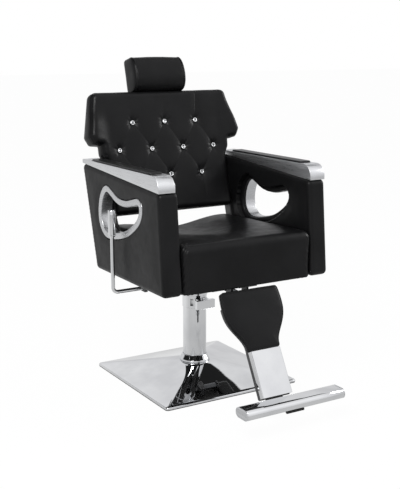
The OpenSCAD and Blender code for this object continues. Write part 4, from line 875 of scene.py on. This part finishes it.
def makePads():
    half = pad["half"] + 0.0012
    base, top = cap["top"] - pad["sunk"], cap["top"] + pad["proud"]
    middle = (base + top) / 2
    corners = [(-half, base, 0.0004), (half, base, 0.0004), (half, top, 0.0034), (-half, top, 0.0034)]
    section = rounded(corners, 6)
    front, rear = pad["front"] - 0.0010, pad["rear"]
    # how far each ring is drawn in, and where it stands along the pad
    stations = [(0.004, front), (0.0015, front + 0.0006), (0.0004, front + 0.002), (0, front + 0.004)]
    stations += [(0, -0.1), (0, 0), (0, 0.1), (0, rear - 0.003), (0.0006, rear - 0.001), (0.003, rear)]
    rings = []
    for d, y in stations:
        narrow, low = (half - d) / half, 1 - 75 * d
        rings.append([
            Vector((pad["middle"] + x * narrow, y, middle + (z - middle) * low if z > middle else z))
            for x, z in section
        ])
    piece = extrudeRings("armPadLeft", rings)
    for p in (piece, mirroredCopy(piece, "armPadRight")):
        finishPiece(p, "seat", armPadPlastic, ["arm_pads"], angle=40)


makeCaps()
makePads()


# ---------- back cushion and rear cover, made upright ----------

back = {
    "front": 0.029, "crown": 0.006, "rear": 0.014, "low": 0.183, "top": 0.580, "notch": 0.4125,
    "wrap": 0.018, "round": 0.018, "tuft": 0.009, "pitch": 0.118, "rise": 0.088, "mid": 0.390,
    # right-hand half of the outline, from the foot up: across, up, radius of the corner
    "outline": [
        (0.223, 0.183, 0.014), (0.223, 0.356, 0.020), (0.235, 0.382, 0.020), (0.235, 0.411, 0.004),
        (0.266, 0.414, 0.012), (0.279, 0.440, 0.012), (0.2475, 0.580, 0.020),
    ],
}
backLoop = rounded(bothSides(back["outline"]), 8)
buttonPlaces = []
for row in (-1, 0, 1):
    for k in ((-1.5, -0.5, 0.5, 1.5) if row == 0 else (-1, 0, 1)):
        buttonPlaces.append((k * back["pitch"], back["mid"] + row * back["rise"]))


# Each pleat's two ends, how deep it stays away from its button, and how far it runs out
def pleatLines():
    b = back
    lines = []
    for row in (-1, 1):
        for k in (-1, 0, 1):
            start = (k * b["pitch"], b["mid"] + row * b["rise"])
            lines += [(start, ((k + s) * b["pitch"], b["mid"]), 0.55, None) for s in (-0.5, 0.5)]
    for k in (-1, 0, 1):
        x = k * b["pitch"]
        # one of the upper pleats is sewn all the way to the edge
        weak, reach = (0.9, 0.16) if k == 1 else (0.25, 0.07)
        lines.append(((x, b["mid"] + b["rise"]), (x * 1.12, b["top"] + 0.01), weak, reach))
        lines.append(((x, b["mid"] - b["rise"]), (x * 1.05, b["low"] - 0.01), 0.35, 0.07))
    return lines


# Distance of each place from its nearest pleat, and that pleat's strength there
def pleatsAt(at):
    nearest = numpy.full(len(at), 1e9)
    strength = numpy.zeros(len(at))
    for start, end, weak, reach in pleatLines():
        d, _ = nearestOn(at, [(start, end)])
        fade = numpy.hypot(*(at - start).T)
        if reach is None:
            fade = numpy.minimum(fade, numpy.hypot(*(at - end).T))
        power = weak + (1 - weak) * numpy.exp(-(fade / 0.03) ** 2)
        if reach:
            power = power * numpy.exp(-(fade / reach) ** 2)
        strength = numpy.where(d < nearest, power, strength)
        nearest = numpy.minimum(nearest, d)
    return nearest, strength


# Distance of each place from its nearest button, and the small folds gathered round the buttons
def buttonsAt(at):
    nearest = numpy.full(len(at), 1e9)
    pucker = numpy.zeros(len(at))
    for n, place in enumerate(buttonPlaces):
        dx, dz = (at - place).T
        d = numpy.hypot(dx, dz)
        turn = numpy.arctan2(dz, dx)
        wave = numpy.sin(turn * 9 + n * 1.7) * 0.6 + numpy.sin(turn * 5 + n * 2.9) * 0.4
        pucker += wave * numpy.exp(-((d - 0.014) / 0.011) ** 2)
        nearest = numpy.minimum(nearest, d)
    return nearest, pucker


# How far the front stands out over its plane: crown, pleats, tufts and the two padded wings
def backRelief(at, edge):
    b = back
    pleat, strength = pleatsAt(at)
    button, pucker = buttonsAt(at)
    x, z = numpy.abs(at[:, 0]), at[:, 1]
    wing = eased((x - 0.198) / 0.075) * (1 - 0.85 * eased((z - b["mid"] - 0.06) / 0.11))
    wing *= eased((z - 0.351) / 0.06)
    return (
        b["crown"]
        - 0.0020 * strength * numpy.exp(-(pleat / 0.014) ** 2)
        - 0.0016 * strength * numpy.exp(-(pleat / 0.0024) ** 2)
        - (b["tuft"] - 0.0015) * numpy.exp(-(button / 0.015) ** 2)
        - 0.0015 * numpy.exp(-(button / 0.034) ** 2)
        + 0.0009 * pucker
        + b["wrap"] * wing
        - edgeFall(edge, b["round"])
    )


# Heights of the grid's rows, closest together at the notches under the wings
def rowHeights():
    b = back
    heights = []
    z = b["low"]
    while z < b["top"] - 1e-6:
        heights.append(z)
        near = min(z - b["low"], b["top"] - z)
        z += 0.0007 if abs(z - b["notch"]) < 0.004 else (0.0014 if near < 0.012 else 0.003)
    return heights + [b["top"]]


def makeBackCushion():
    b = back
    heights = rowHeights()
    rows, cols = len(heights) - 1, 180
    clearSelection()
    bpy.ops.mesh.primitive_grid_add(x_subdivisions=cols, y_subdivisions=rows, size=2)
    piece = bpy.context.object
    shape = startShape("backCushionCover", piece)
    order = shape.verts.layers.int.new("order")
    shape.verts.ensure_lookup_table()
    spots = [(round((v.co.x + 1) / 2 * cols), round((v.co.y + 1) / 2 * rows)) for v in shape.verts]
    # the grid is stretched to the outline's width at each height
    right = sorted([p for p in backLoop if p[0] > 0], key=lambda p: p[1])
    widths = numpy.interp(heights, [p[1] for p in right], [p[0] for p in right])
    at = numpy.array([((i / cols * 2 - 1) * widths[j], heights[j]) for i, j in spots])
    edge, _ = nearestOn(at, sidesOf(backLoop))
    relief = backRelief(at, edge)
    for n, (x, z) in enumerate(at):
        soft = noise.noise(Vector((x * 10, z * 10, 1))) * 0.0012
        near = float(eased((0.05 - edge[n]) / 0.05))
        drag = noise.noise(Vector((x * 26, z * 34, 5))) * 0.0012 * near
        shape.verts[n].co = (x, -b["front"] - relief[n] - soft + drag, z)
    # the vertices round the grid, in order
    path = [(i, 0) for i in range(cols)] + [(cols, j) for j in range(rows)]
    path += [(i, rows) for i in range(cols, 0, -1)] + [(0, j) for j in range(rows, 0, -1)]
    number = {spot: n for n, spot in enumerate(spots)}
    border = [number[spot] for spot in path]
    for k, n in enumerate(border):
        shape.verts[n][order] = k
    loop = [tuple(at[n]) for n in border]
    depth = [shape.verts[n].co.y for n in border]
    size = len(loop)
    outward = []
    for k in range(size):
        p, q = loop[(k - 3) % size], loop[(k + 3) % size]
        tx, tz = unit(q[0] - p[0], q[1] - p[1])
        outward.append((tz, -tx))

    # A ring of the side wall: pushed outwards, set behind the face, and a share of the way to the rear
    def wallRing(push, behind, share):
        ring = []
        for (x, z), (ox, oz), y in zip(loop, outward, depth):
            y += behind
            ring.append(Vector((x + ox * push, y + (b["rear"] - y) * share, z + oz * push)))
        return ring

    # a piping bead, then the wall with its slight swell, then the turned-in rear edge
    wall = [
        (0.0010, 0.0008, 0), (0.0014, 0.0022, 0), (0.0008, 0.0036, 0), (-0.0014, 0.0042, 0),
        (-0.0004, 0.0056, 0), (0.0008, 0.0056, 0.2), (0.0016, 0.0056, 0.5), (0.0008, 0.0056, 0.8),
        (-0.0006, 0.0056, 0.97), (-0.004, 0.0056, 1), (-0.012, 0.0056, 1),
    ]
    bmesh.update_edit_mesh(piece.data)
    selectRims(piece)
    bpy.ops.mesh.select_mode(type="EDGE")
    extendLoop(piece, [wallRing(*step) for step in wall])
    bpy.ops.mesh.edge_face_add()
    facesOutward(piece)
    finishPiece(piece, "back", blackLeather, ["back_cushion"], placeBack, angle=60)


def makeBackCover():
    loop = evenly(backLoop, 360)
    # how far inside the outline each ring lies, and how far behind the back's plane
    profile = (
        (0.004, 0.0142), (0.0035, 0.0165), (0.0045, 0.0182), (0.007, 0.0191), (0.009, 0.0194),
        (0.0095, 0.0194),
    )
    rings = [[Vector((x, y, z)) for x, z in grown(loop, -inset)] for inset, y in profile]
    piece = extrudeRings("backRearCover", rings)
    finishPiece(piece, "back", blackLeather, ["back_cover"], placeBack, angle=60)


makeBackCushion()
makeBackCover()


# ---------- buttons ----------

button = {
    "seat": -back["front"] - back["crown"] + back["tuft"] + 0.001, "sides": 28, "facets": 12,
    # radius and height over the seat, from the rim of the cup to its pocket
    "cup": (
        (0.0080, 0), (0.0083, 0.0012), (0.0079, 0.0034), (0.0069, 0.0046),
        (0.0053, 0.0046), (0.0043, 0.0038), (0.0041, 0.0015),
    ),
    # the same for the cut stone, with the turn of each ring in facets
    "stone": ((0.0036, 0.0016, 0), (0.0036, 0.0030, 0), (0.0026, 0.0044, 0.5), (0.0014, 0.0050, 0)),
}


# Copies a button's piece to every place, each turned a little further
def spread(source, name):
    copies = []
    for n, (x, z) in enumerate(buttonPlaces):
        copy = source.copy()
        copy.data = source.data.copy()
        bpy.context.scene.collection.objects.link(copy)
        copy.data.transform(Matrix.Translation((x, 0, z)) @ Matrix.Rotation(n * 0.7, 4, "Y"))
        copies.append(copy)
    bpy.data.objects.remove(source)
    return joined(copies, name)


def makeButtons():
    b = button

    def ring(r, rise, count, turn=0.0):
        return [Vector((x, b["seat"] - rise, z)) for x, z in circlePoints(r, count, turn)]

    facet = 2 * math.pi / b["facets"]
    cup = [ring(r, rise, b["sides"]) for r, rise in b["cup"]]
    stone = [ring(r, rise, b["facets"], turn * facet) for r, rise, turn in b["stone"]]
    cups = spread(extrudeRings("buttonCup", cup), "buttonCupsSet")
    stones = spread(extrudeRings("buttonStone", stone), "buttonStonesSet")
    finishPiece(cups, "back", cupChrome, ["button_cups"], placeBack, angle=50)
    finishPiece(stones, "back", foilGlass, ["button_stones"], placeBack, angle=5)


makeButtons()


# ---------- headrest ----------

pillow = {
    "half": 0.095, "low": 0.581, "height": 0.115, "depth": 0.084, "rear": 0.031, "bend": 0.008,
    # the rear edge's rounding, as distances from its two faces
    "corner": [(0.0045, 0.0008), (0.002, 0.002), (0.0006, 0.0045)],
    # inwards from an end: distance, how far the outline is drawn in, and its share of the size
    "ends": [
        (-0.0012, 0.009, 0.35), (-0.0016, 0.009, 0.7), (-0.0006, 0.009, 0.9), (0.0004, 0.009, 1),
        (0.0016, 0.0058, 1), (0.0034, 0.0030, 1), (0.0050, 0.0026, 1), (0.0056, 0.0012, 1),
        (0.0070, 0.0003, 1), (0.0086, 0.0003, 1), (0.0098, 0.0012, 1), (0.0106, 0.0022, 1),
        (0.0140, 0.0012, 1),
    ],
}


# A section of the pillow: round to the front, and flat on top, behind and below
def pillowRing(x, d, shrink=1.0):
    p = pillow
    bend = p["bend"]
    rear, low, high = p["rear"] - d, p["low"] + d, p["low"] + p["height"] - d
    midY, ry = p["rear"] - p["depth"] * 0.5, p["depth"] * 0.5 - d
    midZ = p["low"] + p["height"] * 0.47
    loop = []
    for k in range(61):
        a = math.radians(-90 + 3 * k)
        rz = midZ - low if a < 0 else high - midZ
        loop.append((midY - ry * max(0, math.cos(a)) ** 0.8, midZ + rz * math.sin(a)))
    loop += [(midY + (rear - bend - midY) * k / 6, high) for k in range(1, 7)]
    loop += [(rear - y, high - z) for y, z in p["corner"]] + [(rear, high - bend)]
    loop += [(rear, high - bend + (low - high + 2 * bend) * k / 7) for k in range(1, 8)]
    loop += [(rear - y, low + z) for y, z in reversed(p["corner"])] + [(rear - bend, low)]
    loop += [(rear - bend + (midY - rear + bend) * k / 6, low) for k in range(1, 6)]
    midZ = (low + high) / 2
    return [Vector((x, midY + (y - midY) * shrink, midZ + (z - midZ) * shrink)) for y, z in loop]


def makeHeadrest():
    half = pillow["half"]
    ends = pillow["ends"] + [(x / 1000, 0.0012 - 0.0021 * min(1, (x - 14) / 50), 1) for x in range(18, 94, 4)]
    rings = [pillowRing(half - x, d, s) for x, d, s in ends] + [pillowRing(0, -0.001)]
    rings += [pillowRing(x - half, d, s) for x, d, s in reversed(ends)]
    piece = extrudeRings("headrestCover", rings)

    # Slack leather, with finer drag lines just inside the piping of the two ends
    def soft(p, normal):
        slack = noise.noise(Vector((p.x * 16, p.y * 16, p.z * 16))) * 0.0010
        near = math.exp(-((abs(p.x) - 0.080) / 0.012) ** 2)
        drag = noise.noise(Vector((p.x * 20, p.y * 90, p.z * 90))) * 0.0007 * near
        return p + normal * (slack + drag)

    reshape(piece, soft)
    finishPiece(piece, "headrest", blackLeather, ["headrest_pad"], placeBack, angle=60)


makeHeadrest()


# ---------- leg rest, made upright ----------

calf = {
    "above": 0.015, "length": 0.183, "half": 0.099, "foot": 0.055, "back": 0.008, "bulge": 0.004,
    "shoulder": 0.045,
    # how far inside the outline and how far in front of the rear face the side wall's rings lie
    "wall": (
        (0.012, 0), (0.003, 0), (0.0005, 0.002), (0, 0.006), (0, 0.0125), (0.0009, 0.0134),
        (-0.0004, 0.0141), (-0.0008, 0.0155), (0.0002, 0.0169), (0.0018, 0.0172), (0.0032, 0.0166),
        (0.0048, 0.0176),
    ),
    "crown": 0.0036,
}


# Half the pad's width at a distance below its top
def calfHalf(s):
    c = calf
    t = max(0.0, min(1.0, (s - c["shoulder"]) / (c["length"] - c["shoulder"] - 0.010)))
    wide = c["half"] + c["bulge"] - c["foot"]
    wide = c["foot"] + wide * (0.5 + 0.5 * math.cos(math.pi * t ** 1.35))
    return wide - c["bulge"] * max(0.0, 1 - s / c["shoulder"]) ** 2


def makeCalfPad():
    c = calf
    rows = 44
    places = [c["length"] * k / rows for k in range(rows + 1)]
    side = [(calfHalf(s), c["above"] - s, 0) for s in places]
    outline = [(*side[0][:2], 0.010)] + side[2:-2] + [(*side[-1][:2], 0.009)]
    loop = evenly(rounded(bothSides(outline), 6)[::-1], 240)
    rings = [[Vector((x, -c["back"] - y, z)) for x, z in grown(loop, -d)] for d, y in c["wall"]]
    inset, level = c["wall"][-1]
    face = grown(loop, -inset)
    middle = c["above"] - c["length"] * 0.42
    for k in range(1, 24):
        s = 1 - k / 24
        y = -c["back"] - level - c["crown"] * (1 - s ** 6)
        rings.append([Vector((x * s, y, middle + (z - middle) * s)) for x, z in face])
    piece = extrudeRings("calfPadCover", rings)

    def soft(p, normal):
        return p + normal * noise.noise(Vector((p.x * 18, p.y * 18, p.z * 18))) * 0.0008

    reshape(piece, soft)
    finishPiece(piece, "leg_rest", blackLeather, ["calf_pad"], placeLeg, angle=60)


legPlate = {
    "low": -0.307, "high": -0.169, "half": 0.052, "front": -0.028, "rear": -0.012, "thick": 0.002,
    "crown": 0.0004,
}


# A folded sheet, open to the rear and very slightly crowned along its length
def makeLegPlate():
    g = legPlate
    half, front, rear, thick = g["half"], g["front"], g["rear"], g["thick"]
    section = rounded(bothSides([
        (half, front, 0.003), (half, rear, 0), (half - thick, rear, 0), (half - thick, front + thick, 0.001),
    ]), 5)
    rings = []
    for t in [k / 12 for k in range(13)]:
        crown, z = g["crown"] * math.sin(math.pi * t), g["high"] + (g["low"] - g["high"]) * t
        rings.append([Vector((x, y - crown, z)) for x, y in section])
    piece = extrudeRings("legPlateFace", rings)
    finishPiece(piece, "leg_rest", chrome, ["leg_plate"], placeLeg, angle=35)


# A bar's outline with two round sides, drawn in by d
def stadium(wide, tall, d=0.0, steps=14):
    loop = []
    r = tall / 2 - d
    for side in (1, -1):
        for k in range(steps + 1):
            a = math.radians(-90 + 180 * k / steps)
            loop.append((side * ((wide - tall) / 2 + r * math.cos(a)), side * r * math.sin(a)))
    return loop


def makeFootBar():
    low, high = nodeBox("foot_bar")
    half, wide, tall = high[0], high[1] - low[1], high[2] - low[2]
    middleY, middleZ = (low[1] + high[1]) / 2, (low[2] + high[2]) / 2

    def section(x, d):
        return [Vector((x, middleY + y, middleZ + z)) for y, z in stadium(wide, tall, d)]

    rounding = [(half, 0.002), (half, 0.0003), (half - 0.0004, 0), (half * 0.5, 0)]
    rings = [section(-x, d) for x, d in rounding] + [section(0, 0)]
    rings += [section(x, d) for x, d in reversed(rounding)]
    bar = extrudeRings("footBarTube", rings)
    finishPiece(bar, "leg_rest", chrome, ["foot_bar"], angle=40)
    plug = [
        (-0.010, 0.003), (0.0002, 0.0024), (0.0002, 0.0001), (0.0022, -0.0001), (0.003, 0.0008),
        (0.0034, 0.004), (0.0034, 0.009),
    ]
    for side, name in ((1, "footBarCapLeft"), (-1, "footBarCapRight")):
        end = extrudeRings(name, [section(side * (half + x), d) for x, d in plug])
        finishPiece(end, "leg_rest", brushedCap, ["foot_bar_caps"], angle=40)


makeCalfPad()
makeLegPlate()
makeFootBar()


# ---------- lever ----------

lever = {
    "x": -0.315, "y": -0.046, "axis": 0.333, "inner": -0.0405, "bend": 0.016, "rod": 0.006,
    # height and radius of the grip's turned profile
    "grip": (
        (0.506, 0.0065), (0.5062, 0.0090), (0.5070, 0.0096), (0.5110, 0.0115), (0.5118, 0.0112),
        (0.5124, 0.0115), (0.5840, 0.0115), (0.5862, 0.0109), (0.5876, 0.0094), (0.588, 0.0070),
        (0.588, 0.002),
    ),
    # the nose that pushes the release pin: place along the shaft, how far the outline is drawn in
    "nose": (
        (-0.050, 0.0008), (-0.0496, 0.0002), (-0.049, 0), (-0.043, 0), (-0.0424, 0.0002), (-0.042, 0.0008),
    ),
    "noseFoot": 0.3196, "noseTop": 0.009, "noseTip": 0.005,
}


# Circles round a path that keeps to one depth, each square to the path
def alongPath(path, radius, count=24):
    side = Vector((0, 1, 0))
    rings = []
    for i, p in enumerate(path):
        along = (path[min(len(path) - 1, i + 1)] - path[max(0, i - 1)]).normalized()
        up = along.cross(side).normalized()
        rings.append([p + side * c + up * s for c, s in circlePoints(radius, count)])
    return rings


def makeLeverRod():
    v = lever
    corner, bend = v["x"] + v["bend"], v["bend"]
    path = [Vector((x, v["y"], v["axis"])) for x in (v["inner"], -0.12, -0.2, corner)]
    for a in [math.radians(90 * k / 12) for k in range(1, 13)]:
        path.append(Vector((corner - bend * math.sin(a), v["y"], v["axis"] + bend - bend * math.cos(a))))
    path += [Vector((v["x"], v["y"], z)) for z in (0.40, 0.45, 0.512)]
    return extrudeRings("leverRodTube", alongPath(path, v["rod"]))


def makeLeverNose():
    v = lever
    turns = [math.radians(180 * k / 12) for k in range(13)]
    top, tip = v["noseTop"], v["noseTip"]
    loop = [(v["y"] + top * math.cos(a), v["axis"] + top * math.sin(a)) for a in turns]
    loop += [(v["y"] - tip * math.cos(a), v["noseFoot"] - tip * math.sin(a)) for a in turns]
    rings = [[Vector((x, y, z)) for y, z in grown(loop, -inset)] for x, inset in v["nose"]]
    return extrudeRings("leverNose", rings)


def makeLever():
    v = lever
    rod = makeLeverRod()
    rings = [[Vector((v["x"] + x, v["y"] + y, z)) for x, y in circlePoints(r, 32)] for z, r in v["grip"]]
    grip = extrudeRings("leverGripTube", rings)
    finishPiece(grip, "lever", chrome, ["lever_grip"], angle=40)
    whole = joined([rod, makeLeverNose()], "leverRodTube")
    finishPiece(whole, "lever", chrome, ["lever_rod"], angle=40)


makeLever()


# ---------- CAD nodes that stay: each takes the material of its slot ----------

for part in frame["record"]["subparts"]:
    for holder in cadNodes[part["node"]].material_slots:
        holder.material = slotMaterials[part["material_slot"]]
print("materials given to the CAD nodes")


# ---------- stage, light and camera ----------

def multiplied(tree, *values):
    result = values[0]
    for value in values[1:]:
        result = addNode(tree, "Math", {0: result, 1: value}, operation="MULTIPLY").outputs[0]
    return result


def mixedShader(tree, factor, first, second):
    mix = addNode(tree, "MixShader", {"Fac": factor})
    tree.links.new(first.outputs[0], mix.inputs[1])
    tree.links.new(second.outputs[0], mix.inputs[2])
    return mix


# Pale paper that the camera sees nearly white; to polished faces it glows as a painted reflection, lighter
# behind the chair
def makeStage():
    clearSelection()
    bpy.ops.mesh.primitive_plane_add(size=60, location=(0, 0, 0))
    floor = bpy.context.object
    floor.name = "studioFloor"
    bpy.ops.object.mode_set(mode="EDIT")
    bpy.ops.mesh.subdivide(number_cuts=2)
    bpy.ops.object.mode_set(mode="OBJECT")
    material = bpy.data.materials.new("paperSweep")
    tree = emptyTree(material)
    place = addNode(tree, "TexCoord").outputs["Object"]
    fibre = noiseValue(tree, place, 3.0, 2.0)
    tint = mixedColor(tree, fibre, "#f6f6f6", "#fafafa")
    paper = addNode(tree, "BsdfDiffuse", {"Color": tint})
    glow = addNode(tree, "Emission", {"Color": (1, 1, 1, 1), "Strength": 1.0})
    # Painted reflection: polished faces see the paper as a grey glow that brightens from front to rear
    depth = addNode(tree, "SeparateXYZ", {"Vector": place}).outputs["Y"]
    mirrored = addNode(tree, "Emission", {"Strength": mapped(tree, depth, 0.56, 0.85, -0.1, 0.6)})
    rays = addNode(tree, "LightPath")
    inShine = multiplied(tree, rays.outputs["Is Glossy Ray"], 0.85)
    inView = multiplied(tree, rays.outputs["Is Camera Ray"], 0.965)
    surface = mixedShader(tree, inShine, paper, mirrored)
    surface = mixedShader(tree, inView, surface, glow)
    addNode(tree, "OutputMaterial", {"Surface": surface.outputs[0]})
    floor.data.materials.append(material)


def makeWorld():
    world = bpy.data.worlds.new("studio")
    bpy.context.scene.world = world
    tree = emptyTree(world)
    rays = addNode(tree, "LightPath")
    direction = addNode(tree, "TexCoord").outputs["Generated"]
    axes = addNode(tree, "SeparateXYZ", {"Vector": direction})
    height = mapped(tree, axes.outputs["Z"], 0.0, 1.0, -0.3, 1.0)
    shine = addNode(tree, "ValToRGB", {"Fac": height})
    stops = shine.color_ramp.elements
    stops[0].color = (0.75, 0.75, 0.76, 1)
    stops[1].color = (0.95, 0.95, 0.96, 1)
    stops.new(0.35).color = (0.62, 0.62, 0.63, 1)
    seen = addNode(tree, "Background", {"Color": (1, 1, 1, 1), "Strength": 1.0})
    # A dark wall panel behind the chair to its left: polished faces that lean that way show it
    slant = addNode(tree, "Math", {
        0: axes.outputs["Y"], 1: 0.656, 2: axes.outputs["X"]
    }, operation="MULTIPLY_ADD")
    panel = multiplied(
        tree,
        mapped(tree, axes.outputs["X"], 0.0, 1.0, 0.400, 0.405),
        mapped(tree, slant.outputs[0], 1.0, 0.0, 0.8750, 0.8760),
        mapped(tree, axes.outputs["Y"], 0.0, 1.0, 0.19, 0.21),
        mapped(tree, axes.outputs["Z"], 0.0, 1.0, 0.48, 0.50),
    )
    # The left of the room is dark above the height of the lamps
    left = multiplied(
        tree,
        mapped(tree, axes.outputs["X"], 1.0, 0.0, -0.25, -0.10),
        mapped(tree, axes.outputs["Z"], 0.0, 1.0, 0.42, 0.50),
    )
    # The room is brightest ahead of the chair and low down behind it
    ahead = mapped(tree, axes.outputs["Y"], 1.34, 1.0, -0.6, -0.1)
    behind = mapped(tree, axes.outputs["Y"], 1.0, 1.12, 0.6, 0.84)
    shade = [mapped(tree, value, 1.0, 0.02, 0.0, 1.0) for value in (panel, left)]
    power = multiplied(tree, *shade, ahead, behind)
    reflected = addNode(tree, "Background", {"Color": shine.outputs[0], "Strength": power})
    lit = addNode(tree, "Background", {"Color": (0.93, 0.94, 0.95, 1), "Strength": 0.62})
    glossy = addNode(tree, "Math", {
        0: rays.outputs["Is Glossy Ray"], 1: rays.outputs["Is Transmission Ray"]
    }, operation="MAXIMUM")
    unseen = mixedShader(tree, glossy.outputs[0], lit, reflected)
    surface = mixedShader(tree, rays.outputs["Is Camera Ray"], unseen, seen)
    addNode(tree, "OutputWorld", {"Surface": surface.outputs[0]})


def addArea(name, place, target, size, power):
    data = bpy.data.lights.new(name, "AREA")
    data.size = size
    data.energy = power
    lamp = bpy.data.objects.new(name, data)
    bpy.context.scene.collection.objects.link(lamp)
    lamp.location = place
    lamp.rotation_mode = "QUATERNION"
    lamp.rotation_quaternion = (Vector(target) - Vector(place)).to_track_quat("-Z", "Y")


makeStage()
makeWorld()
addArea("keySoftbox", (-1.7, -1.5, 2.5), (0, -0.05, 0.55), 1.3, 62)
addArea("fillSoftbox", (3.2, -0.6, 1.9), (0, 0, 0.5), 1.1, 30)

view = {"place": (-1.507, -2.532, 1.069), "turn": -31.1023, "rise": 12.0753, "lens": 68.78, "sensor": 36}


def addCamera():
    scene = bpy.context.scene
    camera = bpy.data.objects.new("camera", bpy.data.cameras.new("camera"))
    scene.collection.objects.link(camera)
    scene.camera = camera
    turn, rise = math.radians(view["turn"]), math.radians(view["rise"])
    forward = (-math.sin(turn) * math.cos(rise), math.cos(turn) * math.cos(rise), -math.sin(rise))
    camera.location = view["place"]
    camera.rotation_mode = "QUATERNION"
    camera.rotation_quaternion = Vector(forward).to_track_quat("-Z", "Y")
    camera.data.lens = view["lens"]
    camera.data.sensor_width = view["sensor"]
    camera.data.clip_start = 0.05
    camera.data.clip_end = 60


addCamera()
bpy.context.scene.view_settings.view_transform = "Standard"
